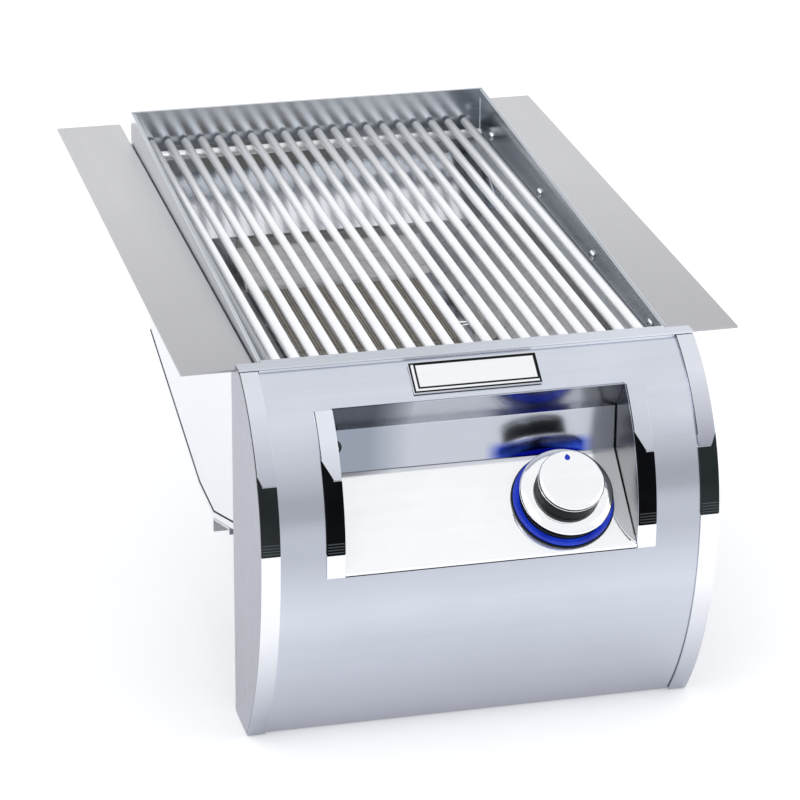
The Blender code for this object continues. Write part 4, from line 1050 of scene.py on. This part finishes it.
def make_inlet():
    """Thread and hexagon of the gas inlet."""
    low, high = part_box("inlet_fitting")
    middle = (low + high) / 2
    lay = Matrix.Translation((low.x, middle.y, middle.z)) @ Matrix.Rotation(math.pi / 2, 4, "Y")
    profile = [(INLET_BORE, 0.0), (INLET_NOSE, 0.0)]
    for i in range(THREAD_TURNS):
        height = THREAD_FIRST + i * THREAD_PITCH
        profile += [(THREAD_ROOT, height), (THREAD_CREST, height + THREAD_PITCH / 2)]
    profile += [(THREAD_ROOT + GAP, HEX_START), (HEX_RADIUS, HEX_START), (HEX_RADIUS, INLET_LENGTH),
                (INLET_BORE, INLET_LENGTH)]
    turned_piece("inlet_thread", profile, lay, BRASS, "station", ["inlet_fitting"],
                 INLET_STEPS, True)


# Finishes of the solids that stay

def dress_nodes():
    """Gives each solid that stays its material."""
    finishes = {
        FLANGE: ["flange_left", "flange_right"],
        WALL: ["side_wall_left", "side_wall_right"],
        REAR: ["rear_wall"],
        LEDGE: ["grid_ledge_left", "grid_ledge_right"],
        STEEL_X: ["base_rail", "burner_bracket_front", "burner_bracket_rear", "burner_body"],
        STEEL_Y: ["venturi_tube"],
        STEEL_Z: ["front_bracket_left", "front_bracket_right"],
        PAN: ["bottom_pan"],
        PLATE: ["deflector_left", "deflector_right", "deflector_rear"],
        RIM: ["front_wall"],
        HOOD: ["recess_hood"],
        SIDE: ["side_plate_left", "side_plate_right"],
        NICHE_PAINTED_SHADE: ["recess_side_left", "recess_side_right"],
        FACE: ["control_face"],
        MIRROR: ["badge_plate", "burner_frame", "igniter_electrode"],
        TILE: ["burner_tile_1", "burner_tile_2"],
        WHITE: ["igniter_box"],
        BRASS: ["control_valve", "gas_pipe", "gas_orifice", "valve_stem", "valve_plunger"],
    }
    for material, names in finishes.items():
        for name in names:
            mesh = NODES[name].data
            mesh.materials.clear()
            mesh.materials.append(material)


# Studio

def add_light(name, place, size, power):
    """A soft area lamp that looks at the object."""
    data = bpy.data.lights.new(name, "AREA")
    data.shape = "SQUARE"
    data.size = size
    data.energy = power
    obj = bpy.data.objects.new(name, data)
    obj.location = place
    obj.rotation_euler = (Vector(LAMP_TARGET) - Vector(place)).to_track_quat("-Z", "Y").to_euler()
    bpy.context.scene.collection.objects.link(obj)


def make_world():
    """Soft white room; metal sees it a little greyer near the horizon in front."""
    world = bpy.data.worlds.new("studio")
    bpy.context.scene.world = world
    world.use_nodes = True
    tree = world.node_tree
    tree.nodes.clear()

    def ramp(value, low_in, high_in, low, high):
        made = tree.nodes.new("ShaderNodeMapRange")
        made.interpolation_type = "SMOOTHSTEP"
        made.inputs["From Min"].default_value = low_in
        made.inputs["From Max"].default_value = high_in
        made.inputs["To Min"].default_value = low
        made.inputs["To Max"].default_value = high
        tree.links.new(value, made.inputs["Value"])
        return made.outputs["Result"]

    def background(colour, strength):
        made = tree.nodes.new("ShaderNodeBackground")
        made.inputs["Color"].default_value = (*colour, 1)
        made.inputs["Strength"].default_value = strength
        return made

    def choose(flag, first, second):
        made = tree.nodes.new("ShaderNodeMixShader")
        tree.links.new(flag, made.inputs["Fac"])
        tree.links.new(first.outputs[0], made.inputs[1])
        tree.links.new(second.outputs[0], made.inputs[2])
        return made

    coords = tree.nodes.new("ShaderNodeTexCoord")
    split = tree.nodes.new("ShaderNodeSeparateXYZ")
    tree.links.new(coords.outputs["Generated"], split.inputs["Vector"])
    level = tree.nodes.new("ShaderNodeMix")
    tree.links.new(ramp(split.outputs["Y"], *ROOM_FRONT, 0.0, 1.0), level.inputs["Factor"])
    tree.links.new(ramp(split.outputs["Z"], *ROOM_RISE, ROOM_HORIZON, ROOM_BRIGHT), level.inputs["A"])
    level.inputs["B"].default_value = ROOM_BRIGHT
    room = background((0.985, 0.99, 1.0), 1.0)
    tree.links.new(level.outputs["Result"], room.inputs["Strength"])
    path = tree.nodes.new("ShaderNodeLightPath")
    seen = choose(path.outputs["Is Glossy Ray"], background((0.97, 0.98, 1.0), ROOM_SOFT), room)
    last = choose(path.outputs["Is Camera Ray"], seen, background((1, 1, 1), 1.0))
    out = tree.nodes.new("ShaderNodeOutputWorld")
    tree.links.new(last.outputs[0], out.inputs["Surface"])


def make_floor():
    """Large white floor that keeps the shadow."""
    make = Maker("floor")
    make.set(Roughness=0.9, Specular_IOR_Level=0.1)
    wear = make.noise(make.place(), 3.0, 2.0)
    make.base(make.tint(wear, (0.86, 0.86, 0.865), (0.88, 0.88, 0.885)))
    path = make.node("ShaderNodeLightPath")
    seen = make.node("ShaderNodeMath", operation="MAXIMUM")
    make.link(path.outputs["Is Camera Ray"], seen.inputs[0])
    make.link(path.outputs["Is Glossy Ray"], seen.inputs[1])
    either = make.node("ShaderNodeMath", operation="MAXIMUM")
    make.link(seen.outputs[0], either.inputs[0])
    make.link(path.outputs["Is Transmission Ray"], either.inputs[1])
    glow = make.node("ShaderNodeEmission")
    make.link(make.spread(either.outputs[0], 0.0, FLOOR_GLOW, 0.0, 1.0), glow.inputs["Strength"])
    both = make.node("ShaderNodeAddShader")
    make.link(make.shader.outputs[0], both.inputs[0])
    make.link(glow.outputs[0], both.inputs[1])
    make.link(both.outputs[0], make.tree.nodes["Material Output"].inputs["Surface"])
    solid = bmesh.new()
    under = Matrix.Translation((0, 0, FRONT_BOTTOM - FLOOR_SHEET))
    block(solid, (FLOOR_SIZE, FLOOR_SIZE, FLOOR_SHEET), under)
    mesh = bpy.data.meshes.new("floor")
    closed(solid).to_mesh(mesh)
    solid.free()
    mesh.materials.append(make.material)
    floor = bpy.data.objects.new("floor", mesh)
    bpy.context.scene.collection.objects.link(floor)


def make_camera():
    """Camera at the photograph's place."""
    data = bpy.data.cameras.new("camera")
    data.lens = LENS
    data.sensor_width = SENSOR_WIDTH
    data.sensor_fit = "HORIZONTAL"
    data.clip_start = CLIP_NEAR
    data.clip_end = CLIP_FAR
    obj = bpy.data.objects.new("camera", data)
    turn = Matrix((CAMERA_RIGHT, CAMERA_UP, CAMERA_BACK)).transposed()
    obj.matrix_world = Matrix.Translation(CAMERA_PLACE) @ turn.to_4x4()
    bpy.context.scene.collection.objects.link(obj)
    bpy.context.scene.camera = obj


make_camera()
make_world()
make_floor()
add_light("key", *KEY_LAMP)
add_light("fill", *FILL_LAMP)
dress_nodes()
make_front()
make_hem()
make_trims()
make_knob()
make_switch()
make_grid()
make_screws()
make_badge_border()
make_seams()
make_rivets()
make_corners()
make_inlet()
bpy.context.scene.view_settings.view_transform = "Standard"
